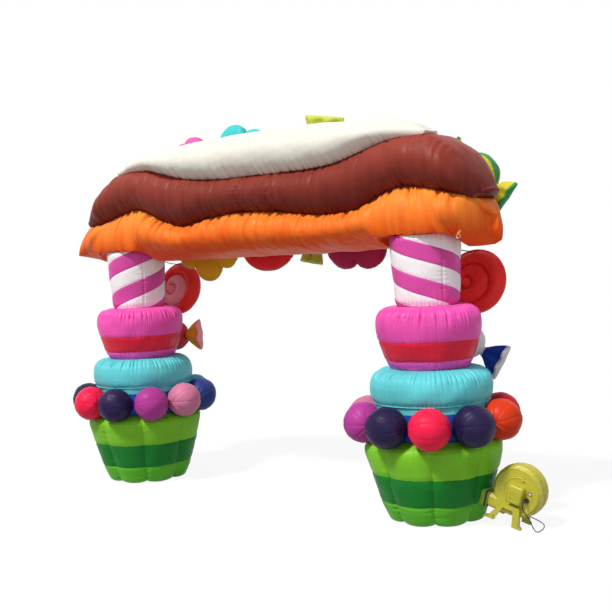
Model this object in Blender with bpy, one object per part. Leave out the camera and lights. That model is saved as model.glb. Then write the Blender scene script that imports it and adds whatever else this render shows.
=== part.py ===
"""Inflatable entrance arch: two stacked cake columns, a wavy three-layer beam, sweets and a blower.

Metres, +Z up. The span runs along X and the decorated face looks along +Y. Every inflated
chamber is a thin shell that opens into its neighbour through a port, so that air passes from
the blower to the tips. The origin lies on the ground under the middle of the box of the arch.
"""
import math

import bmesh
import bpy
from mathutils import Euler, Matrix, Vector

GAP = 0.0003
WALL = 0.004
CUT_OVERRUN = 0.02

# Where the middle of the span lies from the origin
MIDDLE_X = -0.10172
MIDDLE_Y = -0.04429

# Columns
COLUMN_SPACING = 3.083
HALF_SPAN = COLUMN_SPACING / 2
ROUND_SIDES = 20
PORT_RADIUS = 0.10
LOBES = 10
POINTS_PER_LOBE = 4
LOBE_DEPTH_SHARE = 0.085

# Base: shares of its radius and height, and how much of the lobes each ring has
BASE_HEIGHT = 0.622
BASE_RADIUS = 0.516
BASE_PROFILE_SHARES = [(0.649, 0, 1), (0.700, 0.032, 1), (0.802, 0.250, 1), (1, 0.876, 0.7),
                       (0.950, 0.932, 0.4)]

# Collar that carries the berries: it stands out from the base's roof and over the berries' middles
COLLAR_INSET = 0.096
COLLAR_RADIUS = BASE_RADIUS - COLLAR_INSET
COLLAR_OVER = 0.1332
COLLAR_BEVEL = 0.010

# Teal tier: shares of its radius and height above the foot, which is the collar's
TEAL_HEIGHT = 0.2472
TEAL_RADIUS = 0.451
TEAL_PROFILE_SHARES = [(1, 0.262), (1, 0.485), (0.920, 0.829), (0.665, 1)]

# Pink tier: shares of its radius and height; the red band is the second stretch
PINK_HEIGHT = 0.4528
PINK_RADIUS = 0.3895
PINK_PROFILE_SHARES = [(0.739, 0), (0.822, 0.134), (0.947, 0.452), (1, 0.746), (0.924, 0.912), (0.629, 1)]

# Candy column
CANE_HEIGHT = 0.515
CANE_FOOT_RADIUS = 0.237
CANE_TOP_RADIUS = 0.266

# Berries
BERRY_COUNT = 10
BERRY_SIDES = 10
BERRY_NECK_SHARE = 0.70
BERRY_SIDE_ROOM = 0.0108
BERRY_ROOF_ROOM = 0.005
BERRY_PORT_RADIUS = 0.030
BERRY_TURN_RIGHT = math.radians(27.9)
BERRY_TURN_LEFT = math.radians(53.3)


def apothem(radius):
    """Distance from the axis to a facet of a round piece."""
    return radius * math.cos(math.pi / ROUND_SIDES)


COLLAR_FOOT_RADIUS = COLLAR_RADIUS - 2 * COLLAR_BEVEL
HALF_STEP = math.sin(math.pi / BERRY_COUNT)
BERRY_RADIUS = (((apothem(COLLAR_RADIUS) + GAP) * HALF_STEP - BERRY_SIDE_ROOM)
                / (1 - BERRY_NECK_SHARE * HALF_STEP))
BERRY_NECK = BERRY_NECK_SHARE * BERRY_RADIUS
BERRY_RING_RADIUS = apothem(COLLAR_RADIUS) + GAP + BERRY_NECK


def berry_ring_height():
    """Height at which the berries clear the sloped roof of the base."""
    brow_radius = BASE_PROFILE_SHARES[-1][0] * BASE_RADIUS
    brow_z = BASE_PROFILE_SHARES[-1][1] * BASE_HEIGHT
    run, rise = COLLAR_FOOT_RADIUS - brow_radius, BASE_HEIGHT - brow_z
    clear = (BERRY_RADIUS + BERRY_ROOF_ROOM) * math.hypot(run, rise)
    return brow_z + (clear - (BERRY_RING_RADIUS - brow_radius) * rise) / -run


BERRY_RING_Z = berry_ring_height()
COLLAR_TOP_Z = BERRY_RING_Z + COLLAR_OVER
TEAL_TOP_Z = COLLAR_TOP_Z + TEAL_HEIGHT
PINK_TOP_Z = TEAL_TOP_Z + PINK_HEIGHT
SEAT_Z = PINK_TOP_Z + CANE_HEIGHT

# Beam: half depth at the creases, puff of the faces beyond them, crowns of the free edges
BEAM_RISE = 0.880
CREASE_Y = 0.200
FACE_PUFF = 0.085
SEAT_PUFF = 0.042
PUFF_OF_HEIGHT_SHARE = 0.5
SEAT_HALF = 0.270
SEAT_EASE = 0.065
TOP_CROWN = 0.035
UNDERSIDE_DROP = 0.105
END_CROWN = 0.025
END_PUFF = 0.012
TIP_PUFF = 0.008
END_PUFF_SHARES = (0.3, 0.7)
LEFT_DROP_SHARES, RIGHT_DROP_SHARES = (0.35, 0.8), (0.75, 0.95)
BEAM_PORT_RADIUS = 0.060

# Tie-down rings
RING_OUTSET_LEFT, RING_OUTSET_RIGHT = 0.270, 0.388
RING_WIRE_RADIUS = 0.0025
RING_BAR_HALF = 0.016
TAB_RADIUS = 0.006
TAB_HALF = 0.010
TAB_DROP = 0.018

# Sweets on the far face: places as shares of the half span and of the beam's rise over its seats
FLOWER_THICKNESS = 0.150
FLOWER_PINK_RADIUS, FLOWER_CYAN_RADIUS = 0.228, 0.360
FLOWER_YELLOW_RADIUS, FLOWER_MAGENTA_RADIUS = 0.400, 0.360
FLOWER_PINK_SHARES, FLOWER_CYAN_SHARES = (-0.704, 0.898), (-0.324, 0.8125)
FLOWER_YELLOW_SHARES, FLOWER_MAGENTA_SHARES = (-0.6195, 0.102), (0.4476, 0.091)
FLOWER_PINK_SLIP = 0.0003
GUMDROP_HALF_WIDTH, GUMDROP_HALF_HEIGHT = 0.290, 0.190
GUMDROP_SHARES = (-0.175, -0.051)
GUMDROP_SLIP = 0.0035
CANDY_MIDDLE_RADIUS, CANDY_MIDDLE_HALF = 0.150, 0.580
CANDY_MIDDLE_WINGS = (0.110, 0.185)
CANDY_MIDDLE_SHARES = (0.198, 0.443)
CANDY_MIDDLE_TILT = math.radians(-73.4)
CANDY_MIDDLE_SLIP = 0.0040
CANDY_TOP_RADIUS, CANDY_TOP_HALF = 0.175, 0.310
CANDY_TOP_SHARES = (1.135, 0.483)
CANDY_TOP_SLIP = 0.0165
COLUMN_CANDY_OUTSET = 0.045
COLUMN_CANDY_RISE = 0.138
COLUMN_CANDY_RADIUS = 0.140
COLUMN_CANDY_HALF = 0.340
COLUMN_CANDY_SLIP = 0.0028
CANDY_WING_HALF = 0.142
CANDY_EDGE_HALF = 0.030
LOLLY_OUTSET_LEFT, LOLLY_OUTSET_RIGHT = 0.088, 0.065
LOLLY_RADIUS = 0.268
LOLLY_THICKNESS = 0.160
LOLLY_STEP_SHARE = 0.07
LOLLY_LEAN = math.radians(17)
LOLLY_RISE = 0.445
STICK_RADIUS = 0.020
TETHER_RADIUS = 0.004
TETHER_DROP = 0.075
TETHER_SAG = 0.020

COLUMN_CANDY_Z = TEAL_TOP_Z + COLUMN_CANDY_RISE
LOLLY_CENTRE_Z = COLUMN_CANDY_Z + LOLLY_RISE
TETHER_Z = SEAT_Z - TETHER_DROP

# Blower, in its own frame: u to the right, v to the far side, w up
BLOWER_STAND_OFF = 0.1724
BLOWER_ROLL = math.radians(15.3)
SCROLL_RADIUS = 0.185
SCROLL_HALF_WIDTH = 0.070
SCROLL_EDGE = 0.020
SHELL = 0.003
MOUTH_LIP = 0.030
MOUTH_HEIGHT = 0.100
AXIS_U, AXIS_W = 0.013, -0.004
INLET_RADIUS = 0.082
IMPELLER_RADIUS = 0.105
IMPELLER_DEPTH = 0.080
IMPELLER_SETBACK = 0.030
IMPELLER_BLADES = 12
BLADE_THICKNESS = 0.003
BLADE_LENGTH = 0.022
PLATE_THICKNESS = 0.004
SHAFT_RADIUS = 0.004
SHAFT_HOLE_RADIUS = 0.006
MOTOR_RADIUS = 0.042
MOTOR_LENGTH = 0.048
MOTOR_BORE_DEPTH = 0.030
COVER_SHIFT_U, COVER_SHIFT_W = -0.004, -0.005
COVER_ROOM_U, COVER_ROOM_W, COVER_ROOM_END = 0.014, 0.022, 0.001
COVER_CORNER = 0.018
GRILLE_THICKNESS = 0.004
GRILLE_LAP = 0.010
GRILLE_SLOTS = 7
GRILLE_SLOT_WIDTH = 0.010
FOOT_DROP = 0.2486
STAND_THICKNESS = 0.025
STAND_ROOM = 0.003
STAND_BAR = 0.036
STAND_SOLE = 0.012
STAND_FOOT_SHARES = (-1.027, -0.621, 0.140, 0.514)
STAND_FLARE_SHARES = (-0.850, 0.420)
STAND_ARCH_SHARES = (-0.351, 0.070)
STAND_TOP_SHARES = (-0.430, 0.298)
SWITCH_U, SWITCH_W = 0.098, 0.0196
SWITCH_RADIUS = 0.010
SWITCH_LENGTH = 0.014
SWITCH_SINK = 0.004
SWITCH_REST = math.radians(8)
GLAND_U, GLAND_W = 0.0883, -0.0313
GLAND_RADIUS = 0.013
GLAND_NOSE_RADIUS = 0.0055
GLAND_LENGTH = 0.030

# Sleeve between the blower and the base
SLEEVE_WALL = 0.003
SLEEVE_LAP = 0.018
SLEEVE_REACH = 0.120
SLEEVE_PORT_RADIUS = 0.040
SLEEVE_CORNER = 0.012

MOUTH_U = -SCROLL_RADIUS - MOUTH_LIP
STAND_TOP_W = AXIS_W - INLET_RADIUS - GRILLE_LAP - STAND_ROOM
BLOWER_X = BASE_RADIUS + BLOWER_STAND_OFF
BLOWER_Z = (STAND_FOOT_SHARES[-1] * SCROLL_RADIUS * math.sin(BLOWER_ROLL)
            + FOOT_DROP * math.cos(BLOWER_ROLL))

# Power cord: the route's points lie on the ground after the drop from the gland
CORD_RADIUS = 0.0035
CORD_STEP = 0.0228
COIL_X, COIL_Y = 1.360, 0.620
COIL_RADIUS_OUT = 0.0445
COIL_PITCH = 0.0080
COIL_TURNS_PER_LAYER = 1.75
COIL_LAYER_RISE = 0.0080
COIL_POINTS = 24
CORD_ROUTE = [
    (2.3072, -0.1393, 0.2026), (2.3080, -0.1481, 0.1830), (2.3150, -0.1500, 0.1620), (2.3300, -0.1465, 0.1400),
    (2.3470, -0.1400, 0.1120), (2.3600, -0.1320, 0.0780), (2.3690, -0.1200, 0.0430),
    (2.3770, -0.1000, 0.0150), (2.3830, -0.0700, 0.0042), (2.3840, -0.0200, 0.0038),
    (2.3700, 0.0500, 0.0038), (2.3350, 0.1200, 0.0038), (2.2700, 0.1850, 0.0038),
    (2.1800, 0.2500, 0.0038), (2.0500, 0.3350, 0.0038), (1.9200, 0.4250, 0.0038),
    (1.8000, 0.5100, 0.0038), (1.6800, 0.5850, 0.0038), (1.5500, 0.6400, 0.0038),
    (1.4500, 0.6620, 0.0038), (1.3810, 0.6645, 0.0038),
]
PLUG_RADIUS = 0.012
PLUG_LENGTH = 0.036
PIN_RADIUS = 0.0024
PIN_LENGTH = 0.019
PIN_SPREAD = 0.0095


def clear_scene():
    for old in list(bpy.data.objects):
        bpy.data.objects.remove(old, do_unlink=True)


def material(name, colour, roughness, metallic=0.0):
    made = bpy.data.materials.new(name)
    made.use_nodes = True
    shader = made.node_tree.nodes["Principled BSDF"]
    shader.inputs["Base Color"].default_value = (*colour, 1)
    shader.inputs["Roughness"].default_value = roughness
    shader.inputs["Metallic"].default_value = metallic
    return made


PAINT = {
    "green": (0.14, 0.55, 0.06), "blue": (0.05, 0.22, 0.55), "teal": (0.10, 0.62, 0.66),
    "pink": (0.80, 0.16, 0.50), "cane": (0.85, 0.50, 0.72), "cream": (0.86, 0.86, 0.80),
    "brown": (0.20, 0.05, 0.04), "orange": (0.90, 0.30, 0.05), "red": (0.85, 0.04, 0.04),
    "gold": (0.80, 0.52, 0.06), "sky": (0.03, 0.20, 0.62), "lime": (0.62, 0.72, 0.12),
    "cyan": (0.10, 0.65, 0.70), "magenta": (0.45, 0.03, 0.18), "navy": (0.04, 0.03, 0.12),
    "violet": (0.42, 0.08, 0.48), "rose": (0.88, 0.45, 0.60), "hot": (0.90, 0.06, 0.25),
    "vermilion": (0.75, 0.12, 0.05), "leaf": (0.05, 0.45, 0.20), "mustard": (0.42, 0.40, 0.03),
    "black": (0.02, 0.02, 0.02), "grey": (0.55, 0.56, 0.58), "steel": (0.60, 0.60, 0.60),
}
METALS = {"steel"}


def finish(obj, paint, parent, smooth=True):
    """Give an object its own material and its parent."""
    shine = 0.35 if paint in METALS else 0.45
    obj.data.materials.append(material(obj.name, PAINT[paint], shine, float(paint in METALS)))
    obj.parent = parent
    if smooth and obj.type == "MESH":
        obj.data.shade_smooth()
        obj.data.set_sharp_from_angle(angle=math.radians(40))
    return obj


def mesh_object(name, points, faces, parent=None):
    mesh = bpy.data.meshes.new(name)
    mesh.from_pydata([tuple(p) for p in points], [], faces)
    work = bmesh.new()
    work.from_mesh(mesh)
    bmesh.ops.recalc_face_normals(work, faces=work.faces)
    work.to_mesh(mesh)
    work.free()
    obj = bpy.data.objects.new(name, mesh)
    bpy.context.scene.collection.objects.link(obj)
    obj.parent = parent
    return obj


def empty(name, place, parent=None, turn=(0, 0, 0)):
    obj = bpy.data.objects.new(name, None)
    bpy.context.scene.collection.objects.link(obj)
    obj.location = place
    obj.rotation_euler = turn
    obj.parent = parent
    return obj


def as_cutter(obj):
    obj.hide_render = True
    obj.display_type = "WIRE"
    return obj


def boolean(target, tool, operation="DIFFERENCE"):
    step = target.modifiers.new(operation.lower(), "BOOLEAN")
    step.operation = operation
    step.object = as_cutter(tool)
    step.solver = "EXACT"
    return target


def ring_stack(rings, closed, split=False):
    """Points and faces of rings of equal count; a ring of one point is a pole.

    Split quads keep the same diagonal, so that a bent surface and its grown copy run parallel.
    """
    points, starts, faces = [], [], []
    for ring in rings:
        starts.append(len(points))
        points.extend(ring)
    last = len(rings) if closed else len(rings) - 1
    for index in range(last):
        here, there = rings[index], rings[(index + 1) % len(rings)]
        a, b = starts[index], starts[(index + 1) % len(rings)]
        count = max(len(here), len(there))
        if count == 1:
            continue
        for side in range(count):
            after = (side + 1) % count
            if len(here) == 1:
                faces.append((a, b + after, b + side))
            elif len(there) == 1:
                faces.append((a + side, a + after, b))
            elif split:
                faces.append((a + side, a + after, b + after))
                faces.append((a + side, b + after, b + side))
            else:
                faces.append((a + side, a + after, b + after, b + side))
    return points, faces


def around(sides, phase=0.0):
    return [phase + math.tau * index / sides for index in range(sides)]


def turned(name, profile, sides, parent, outline=None, phase=0.0):
    """Turn a closed profile of (radius, height, lobe share) about Z."""
    rings = []
    for radius, height, share in profile:
        if radius == 0:
            rings.append([(0, 0, height)])
            continue
        ring = []
        for angle in around(sides, phase):
            scale = 1 + share * (outline(angle) - 1) if outline else 1
            ring.append((radius * scale * math.cos(angle), radius * scale * math.sin(angle), height))
        rings.append(ring)
    points, faces = ring_stack(rings, closed=True, split=outline is scallop)
    return mesh_object(name, points, faces, parent)


def cylinder(name, radius, start, end, sides=16, parent=None):
    """A solid cylinder between two points."""
    start, end = Vector(start), Vector(end)
    axis = end - start
    frame = axis.to_track_quat("Z", "Y").to_matrix().to_4x4()
    rings = []
    for height in (0, axis.length):
        rings.append([Matrix.Translation(start) @ frame
                      @ Vector((radius * math.cos(a), radius * math.sin(a), height))
                      for a in around(sides)])
    points, faces = ring_stack(rings, closed=False)
    faces.append(tuple(range(sides)))
    faces.append(tuple(range(sides, 2 * sides)))
    return mesh_object(name, points, faces, parent)


def box(name, low, high, parent=None):
    points = [(x, y, z) for x in (low[0], high[0]) for y in (low[1], high[1]) for z in (low[2], high[2])]
    faces = [(0, 1, 3, 2), (4, 6, 7, 5), (0, 4, 5, 1), (2, 3, 7, 6), (0, 2, 6, 4), (1, 5, 7, 3)]
    return mesh_object(name, points, faces, parent)


def prism(name, outline, low, high, parent=None):
    """Extrude an outline of (u, w) points along Y."""
    count = len(outline)
    points = [(u, y, w) for y in (low, high) for u, w in outline]
    faces = [(i, (i + 1) % count, count + (i + 1) % count, count + i) for i in range(count)]
    faces.append(tuple(range(count)))
    faces.append(tuple(range(count, 2 * count)))
    return mesh_object(name, points, faces, parent)


def swept(name, path, radius, sides, parent, closed=False, normal=None):
    """A tube along a path; a flat path gives the normal of its plane."""
    rings = []
    count = len(path)
    for index, point in enumerate(path):
        before = path[index - 1] if index or closed else path[index]
        after = path[(index + 1) % count] if index < count - 1 or closed else path[index]
        along = (Vector(after) - Vector(before)).normalized()
        across = Vector(normal) if normal else along.cross(Vector((0, 0, 1))).normalized()
        up = across.cross(along)
        rings.append([Vector(point) + radius * (math.cos(a) * across + math.sin(a) * up)
                      for a in around(sides)])
    points, faces = ring_stack(rings, closed)
    if not closed:
        faces.append(tuple(range(sides)))
        faces.append(tuple(range(len(points) - sides, len(points))))
    return mesh_object(name, points, faces, parent)


def inner_of(outer, picks, low, high):
    """Chosen profile points moved inward by the wall, inside the heights low and high."""
    return [(outer[i][0] - WALL, min(max(outer[i][1], low + WALL), high - WALL), outer[i][2])
            for i in picks]


# Columns

def scallop(angle):
    """Outline of the cupcake: a seam at each lobe's edge, full radius at its middle."""
    return 1 - LOBE_DEPTH_SHARE * (1 - math.sqrt(abs(math.cos(LOBES * angle / 2))))


def base_outer(grow=0.0):
    outer = [(radius * BASE_RADIUS + grow, height * BASE_HEIGHT, share)
             for radius, height, share in BASE_PROFILE_SHARES]
    outer[0] = (outer[0][0], -grow, 1)
    return outer + [(COLLAR_FOOT_RADIUS + grow, BASE_HEIGHT + grow, 0)]


def base(name, parent, blown_in):
    outer = base_outer()
    inner = inner_of(outer, (4, 3, 0), 0, BASE_HEIGHT)
    profile = ([(0, 0, 0)] + outer + [(PORT_RADIUS, BASE_HEIGHT, 0), (PORT_RADIUS, BASE_HEIGHT - WALL, 0)]
               + inner + [(0, WALL, 0)])
    sides = LOBES * POINTS_PER_LOBE
    obj = turned(name, profile, sides, parent, scallop)
    if blown_in:
        start, end = sleeve_line()
        boolean(obj, cylinder(name + "_inlet", SLEEVE_PORT_RADIUS, start, end, 12))
    return finish(obj, "green", parent)


def collar(name, parent):
    low, high = BASE_HEIGHT + GAP, COLLAR_TOP_Z
    outer = [(COLLAR_FOOT_RADIUS, low, 0), (COLLAR_RADIUS, low + COLLAR_BEVEL, 0), (COLLAR_RADIUS, high, 0)]
    profile = [(PORT_RADIUS, low, 0)] + outer + [(PORT_RADIUS, high, 0), (PORT_RADIUS, high - WALL, 0)]
    profile += [(COLLAR_FOOT_RADIUS - WALL, high - WALL, 0), (COLLAR_FOOT_RADIUS - WALL, low + WALL, 0)]
    profile += [(PORT_RADIUS, low + WALL, 0)]
    obj = turned(name, profile, ROUND_SIDES, parent, phase=math.pi / ROUND_SIDES)
    return finish(obj, "blue", parent)


def stacked(name, outer, picks, parent):
    """A round chamber with a port at the bottom and one at the top."""
    low, high = outer[0][1], outer[-1][1]
    profile = [(PORT_RADIUS, low, 0)] + outer + [(PORT_RADIUS, high, 0), (PORT_RADIUS, high - WALL, 0)]
    profile += inner_of(outer, picks, low, high) + [(PORT_RADIUS, low + WALL, 0)]
    return turned(name, profile, ROUND_SIDES, parent, phase=math.pi / ROUND_SIDES)


def from_shares(shares, radius, low, high):
    return [(r * radius, low + z * (high - low), 0) for r, z in shares]


def teal_tier(name, parent):
    low = COLLAR_TOP_Z + GAP
    outer = [(COLLAR_RADIUS, low, 0)] + from_shares(TEAL_PROFILE_SHARES, TEAL_RADIUS, low, TEAL_TOP_Z)
    return finish(stacked(name, outer, (3, 1), parent), "teal", parent)


def pink_outer():
    return from_shares(PINK_PROFILE_SHARES, PINK_RADIUS, TEAL_TOP_Z + GAP, PINK_TOP_Z)


def pink_tier(name, parent):
    return finish(stacked(name, pink_outer(), (4, 0), parent), "pink", parent)


def cane(name, parent):
    low, high = PINK_TOP_Z + GAP, SEAT_Z - GAP
    outer = [(CANE_FOOT_RADIUS, low, 0), (CANE_TOP_RADIUS, high, 0)]
    return finish(stacked(name, outer, (1, 0), parent), "cane", parent)


def berry_profile():
    """Ball on its neck, turned about Z with the neck's flat end down."""
    rim = math.sqrt(BERRY_RADIUS ** 2 - BERRY_NECK ** 2)
    tilt = math.asin(BERRY_NECK_SHARE)
    steps = 4
    outer = [(BERRY_PORT_RADIUS, -BERRY_NECK, 0), (rim, -BERRY_NECK, 0)]
    for step in range(1, steps):
        angle = -tilt + (math.pi / 2 + tilt) * step / steps
        outer.append((BERRY_RADIUS * math.cos(angle), BERRY_RADIUS * math.sin(angle), 0))
    outer.append((0, BERRY_RADIUS, 0))
    return outer + [(0, BERRY_RADIUS - 2 * WALL, 0), (rim - WALL, WALL - BERRY_NECK, 0),
                    (BERRY_PORT_RADIUS, WALL - BERRY_NECK, 0)]


BERRY_PAINT_RIGHT = ("navy", "hot", "navy", "vermilion", "red", "rose", "cyan", "gold", "rose", "violet")
BERRY_PAINT_LEFT = ("navy", "violet", "rose", "sky", "cyan", "gold", "red", "vermilion", "navy", "hot")


def berries(side, parent, turn, paints):
    """Ten balls; the first faces the front at the given turn about the column."""
    for index in range(BERRY_COUNT):
        angle = turn + math.tau * (index - 1) / BERRY_COUNT
        name = f"berry_{side}_{index + 1:02d}"
        hub = empty(name + "_place", (BERRY_RING_RADIUS * math.sin(angle),
                                      -BERRY_RING_RADIUS * math.cos(angle), BERRY_RING_Z),
                    parent, (math.pi / 2, 0, angle))
        obj = turned(name, berry_profile(), BERRY_SIDES, hub)
        finish(obj, paints[index], hub)


# Beam

# Seams of the layers as shares of the half span and of the beam's rise over its seats
CREAM_FOOT_SHARES = [(-0.9666, 0.773), (-0.8433, 0.790), (-0.7266, 0.784), (-0.5968, 0.727),
                     (-0.4541, 0.670), (-0.2725, 0.632), (-0.06487, 0.620), (0.1557, 0.625),
                     (0.3633, 0.622), (0.5449, 0.640), (0.7006, 0.701), (0.8433, 0.765),
                     (0.9731, 0.801), (1.09, 0.801)]
CREAM_TOP_SHARES = [(-0.9796, 0.801), (-0.8823, 0.886), (-0.7655, 0.932), (-0.6228, 0.960),
                    (-0.4671, 0.977), (-0.2725, 0.991), (-0.06487, 1.000), (0.1557, 1.000),
                    (0.3633, 0.994), (0.5449, 0.983), (0.7006, 0.966), (0.8433, 0.938),
                    (0.9731, 0.892), (1.103, 0.830)]
BROWN_LEFT_SHARES = [(-1.259, 0.324), (-1.207, 0.483), (-1.135, 0.619), (-1.051, 0.710)]
BROWN_RIGHT_SHARES = [(1.168, 0.733), (1.252, 0.608), (1.31, 0.426), (1.33, 0.330)]
BROWN_FOOT_SHARES = [(-1.239, 0.273), (-1.168, 0.288), (-1.103, 0.309), (-1.038, 0.338),
                     (-0.9666, 0.369), (-0.8433, 0.410), (-0.7266, 0.358), (-0.5968, 0.261),
                     (-0.4541, 0.215), (-0.2725, 0.267), (-0.06487, 0.297), (0.1557, 0.285),
                     (0.3633, 0.242), (0.5449, 0.219), (0.7006, 0.244), (0.8433, 0.344),
                     (0.9731, 0.400), (1.09, 0.374), (1.168, 0.341), (1.233, 0.312),
                     (1.266, 0.295), (1.297, 0.267)]
ORANGE_LEFT_SHARES = [(-1.362, -0.020), (-1.271, 0)]
ORANGE_MIDDLE_SHARES = [(-0.5968, -0.045), (-0.4541, -0.051), (-0.2725, -0.051),
                        (-0.06487, -0.051), (0.1557, -0.051), (0.3633, -0.051), (0.5449, -0.045)]
ORANGE_RIGHT_SHARES = [(1.265, 0), (1.300, 0), (1.333, 0)]


def placed(shares):
    return [(x * HALF_SPAN, SEAT_Z + z * BEAM_RISE) for x, z in shares]


def seat(side):
    """Five stations over a column: the flat seat and the lip on each side of it."""
    reach = SEAT_HALF + SEAT_EASE
    return [(side * HALF_SPAN + shift, SEAT_Z) for shift in (-reach, -SEAT_HALF, 0, SEAT_HALF, reach)]


CREAM_FOOT, CREAM_TOP = placed(CREAM_FOOT_SHARES), placed(CREAM_TOP_SHARES)
BROWN_LEFT, BROWN_RIGHT = placed(BROWN_LEFT_SHARES), placed(BROWN_RIGHT_SHARES)
BROWN_FOOT = placed(BROWN_FOOT_SHARES)
ORANGE_FOOT = (placed(ORANGE_LEFT_SHARES) + seat(-1) + placed(ORANGE_MIDDLE_SHARES) + seat(1)
               + placed(ORANGE_RIGHT_SHARES))
RIGHT_LIP = len(ORANGE_FOOT) - len(ORANGE_RIGHT_SHARES) - len(seat(1))
SEATED = [lip + step for lip in (len(ORANGE_LEFT_SHARES), RIGHT_LIP) for step in (1, 2, 3)]


def section(foot, top, puff, foot_crown, top_crown, foot_y, top_y):
    """Twelve points of a layer's cross-section from its foot seam to its top seam."""
    foot, top = Vector((foot[0], 0, foot[1])), Vector((top[0], 0, top[1]))
    rise = top - foot
    up = rise.normalized()
    puff = min(puff, PUFF_OF_HEIGHT_SHARE * rise.length)
    near = []
    for share, reach in ((0, 0), (0.25, 0.75), (0.5, 1), (0.75, 0.75), (1, 0)):
        depth = foot_y + (top_y - foot_y) * share + puff * reach
        near.append((foot + rise * share, depth))
    loop = [foot - up * foot_crown]
    loop += [p + Vector((0, -d, 0)) for p, d in near]
    loop.append(top + up * top_crown)
    loop += [p + Vector((0, d, 0)) for p, d in reversed(near)]
    return loop


def air_section(loop):
    """Six points within a section, two walls away from its seams and its puffed faces."""
    up = (loop[5] - loop[1]).normalized() * 2 * WALL
    side = Vector((0, 2 * WALL, 0))
    return [loop[1] + up + side, loop[3] + side, loop[5] - up + side,
            loop[7] - up - side, loop[9] - side, loop[11] + up - side]


def end_section(loop, outward, size_share=0.6):
    """The last section drawn in and pushed out, which rounds a layer's end."""
    middle = sum(loop, Vector()) / len(loop)
    return [middle + (p - middle) * size_share + outward for p in loop]


def lofted(name, loops, parent):
    points, faces = ring_stack(loops, closed=False)
    count = len(loops[0])
    faces.append(tuple(range(count)))
    faces.append(tuple(range(len(points) - count, len(points))))
    return mesh_object(name, points, faces, parent)


def layer(name, feet, tops, foot_crowns, top_crowns, foot_depths, end_puff, paint, parent):
    """An inflated layer of the beam with its air space cut out."""
    loops, hollows = [], []
    for index, (foot, top) in enumerate(zip(feet, tops)):
        depth = foot_depths[index]
        puff = SEAT_PUFF if depth > CREASE_Y else FACE_PUFF
        from_end = min(index, len(feet) - 1 - index)
        if from_end < len(END_PUFF_SHARES):
            puff *= END_PUFF_SHARES[from_end]
        loops.append(section(foot, top, puff, foot_crowns[index], top_crowns[index], depth, CREASE_Y))
        if (Vector(top) - Vector(foot)).length > 6 * WALL:
            hollows.append(air_section(loops[-1]))
    out = Vector((end_puff, 0, 0))
    loops = [end_section(loops[0], -out)] + loops + [end_section(loops[-1], out)]
    obj = lofted(name, loops, parent)
    boolean(obj, lofted(name + "_air", hollows, parent))
    return finish(obj, paint, parent)


def drop(points, distance):
    return [(x, z - distance) for x, z in points]


def beam(parent):
    count = len(CREAM_FOOT)
    crease = [CREASE_Y] * count
    cream = layer("beam_cream", CREAM_FOOT, CREAM_TOP, [0] * count,
                  [0] + [TOP_CROWN] * (count - 2) + [0], crease, TIP_PUFF, "cream", parent)
    tops = BROWN_LEFT + drop(CREAM_FOOT, GAP) + BROWN_RIGHT
    count = len(tops)
    left, right = len(BROWN_LEFT), len(BROWN_RIGHT)
    crowns = [END_CROWN] * left + [0] * (count - left - right) + [END_CROWN] * right
    brown = layer("beam_brown", BROWN_FOOT, tops, [0] * count, crowns, [CREASE_Y] * count,
                  TIP_PUFF, "brown", parent)
    seams = [0 if index in SEATED else UNDERSIDE_DROP - (SEAT_Z - ORANGE_FOOT[index][1])
             for index in range(count)]
    for index, (left_share, right_share) in enumerate(zip(LEFT_DROP_SHARES, RIGHT_DROP_SHARES)):
        seams[index] *= left_share
        seams[-1 - index] *= right_share
    depths = [SEAT_HALF if index in SEATED else CREASE_Y for index in range(count)]
    orange = layer("beam_orange", ORANGE_FOOT, drop(BROWN_FOOT, GAP), seams, [0] * count, depths,
                   END_PUFF, "orange", parent)
    middle_foot, middle_top = BROWN_FOOT[10][1], CREAM_FOOT[6][1]
    for level, low_layer, high_layer in ((middle_foot, orange, brown), (middle_top, brown, cream)):
        x = CREAM_FOOT[6][0]
        port = cylinder(f"air_port_{high_layer.name}", BEAM_PORT_RADIUS, (x, 0, level - 4 * WALL),
                        (x, 0, level + 4 * WALL), 8, parent)
        boolean(low_layer, port)
        boolean(high_layer, port)
    for side in (-1, 1):
        x = side * HALF_SPAN
        port = cylinder(f"column_port_{side}", PORT_RADIUS, (x, 0, SEAT_Z - WALL), (x, 0, SEAT_Z + 6 * WALL),
                        10, parent)
        boolean(orange, port)
    for side, word in ((-1, "left"), (1, "right")):
        x, z = ring_x(side), RING_AXIS_Z
        boolean(orange, ring_tab(f"ring_tab_{word}", x, z, parent), "UNION")
        bore = cylinder(f"ring_bore_{word}", RING_WIRE_RADIUS + GAP, (x - CUT_OVERRUN, -CREASE_Y, z),
                        (x + CUT_OVERRUN, -CREASE_Y, z), 12, parent)
        boolean(orange, bore)
    return cream, brown, orange


RING_AXIS_Z = SEAT_Z - TAB_DROP


def ring_x(side):
    return side * (HALF_SPAN + (RING_OUTSET_RIGHT if side > 0 else RING_OUTSET_LEFT))


def ring_tab(name, x, z, parent):
    """Folded webbing that holds a ring: a round fold under a flat strip."""
    outline = [(TAB_RADIUS * math.cos(a), TAB_RADIUS * math.sin(a))
               for a in (math.pi * step / 6 for step in range(6, 13))]
    outline += [(TAB_RADIUS, TAB_DROP + TAB_RADIUS), (-TAB_RADIUS, TAB_DROP + TAB_RADIUS)]
    points = [(x + s * TAB_HALF, -CREASE_Y + u, z + w) for s in (-1, 1) for u, w in outline]
    count = len(outline)
    faces = [(i, (i + 1) % count, count + (i + 1) % count, count + i) for i in range(count)]
    faces += [tuple(range(count)), tuple(range(count, 2 * count))]
    return mesh_object(name, points, faces, parent)


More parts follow.
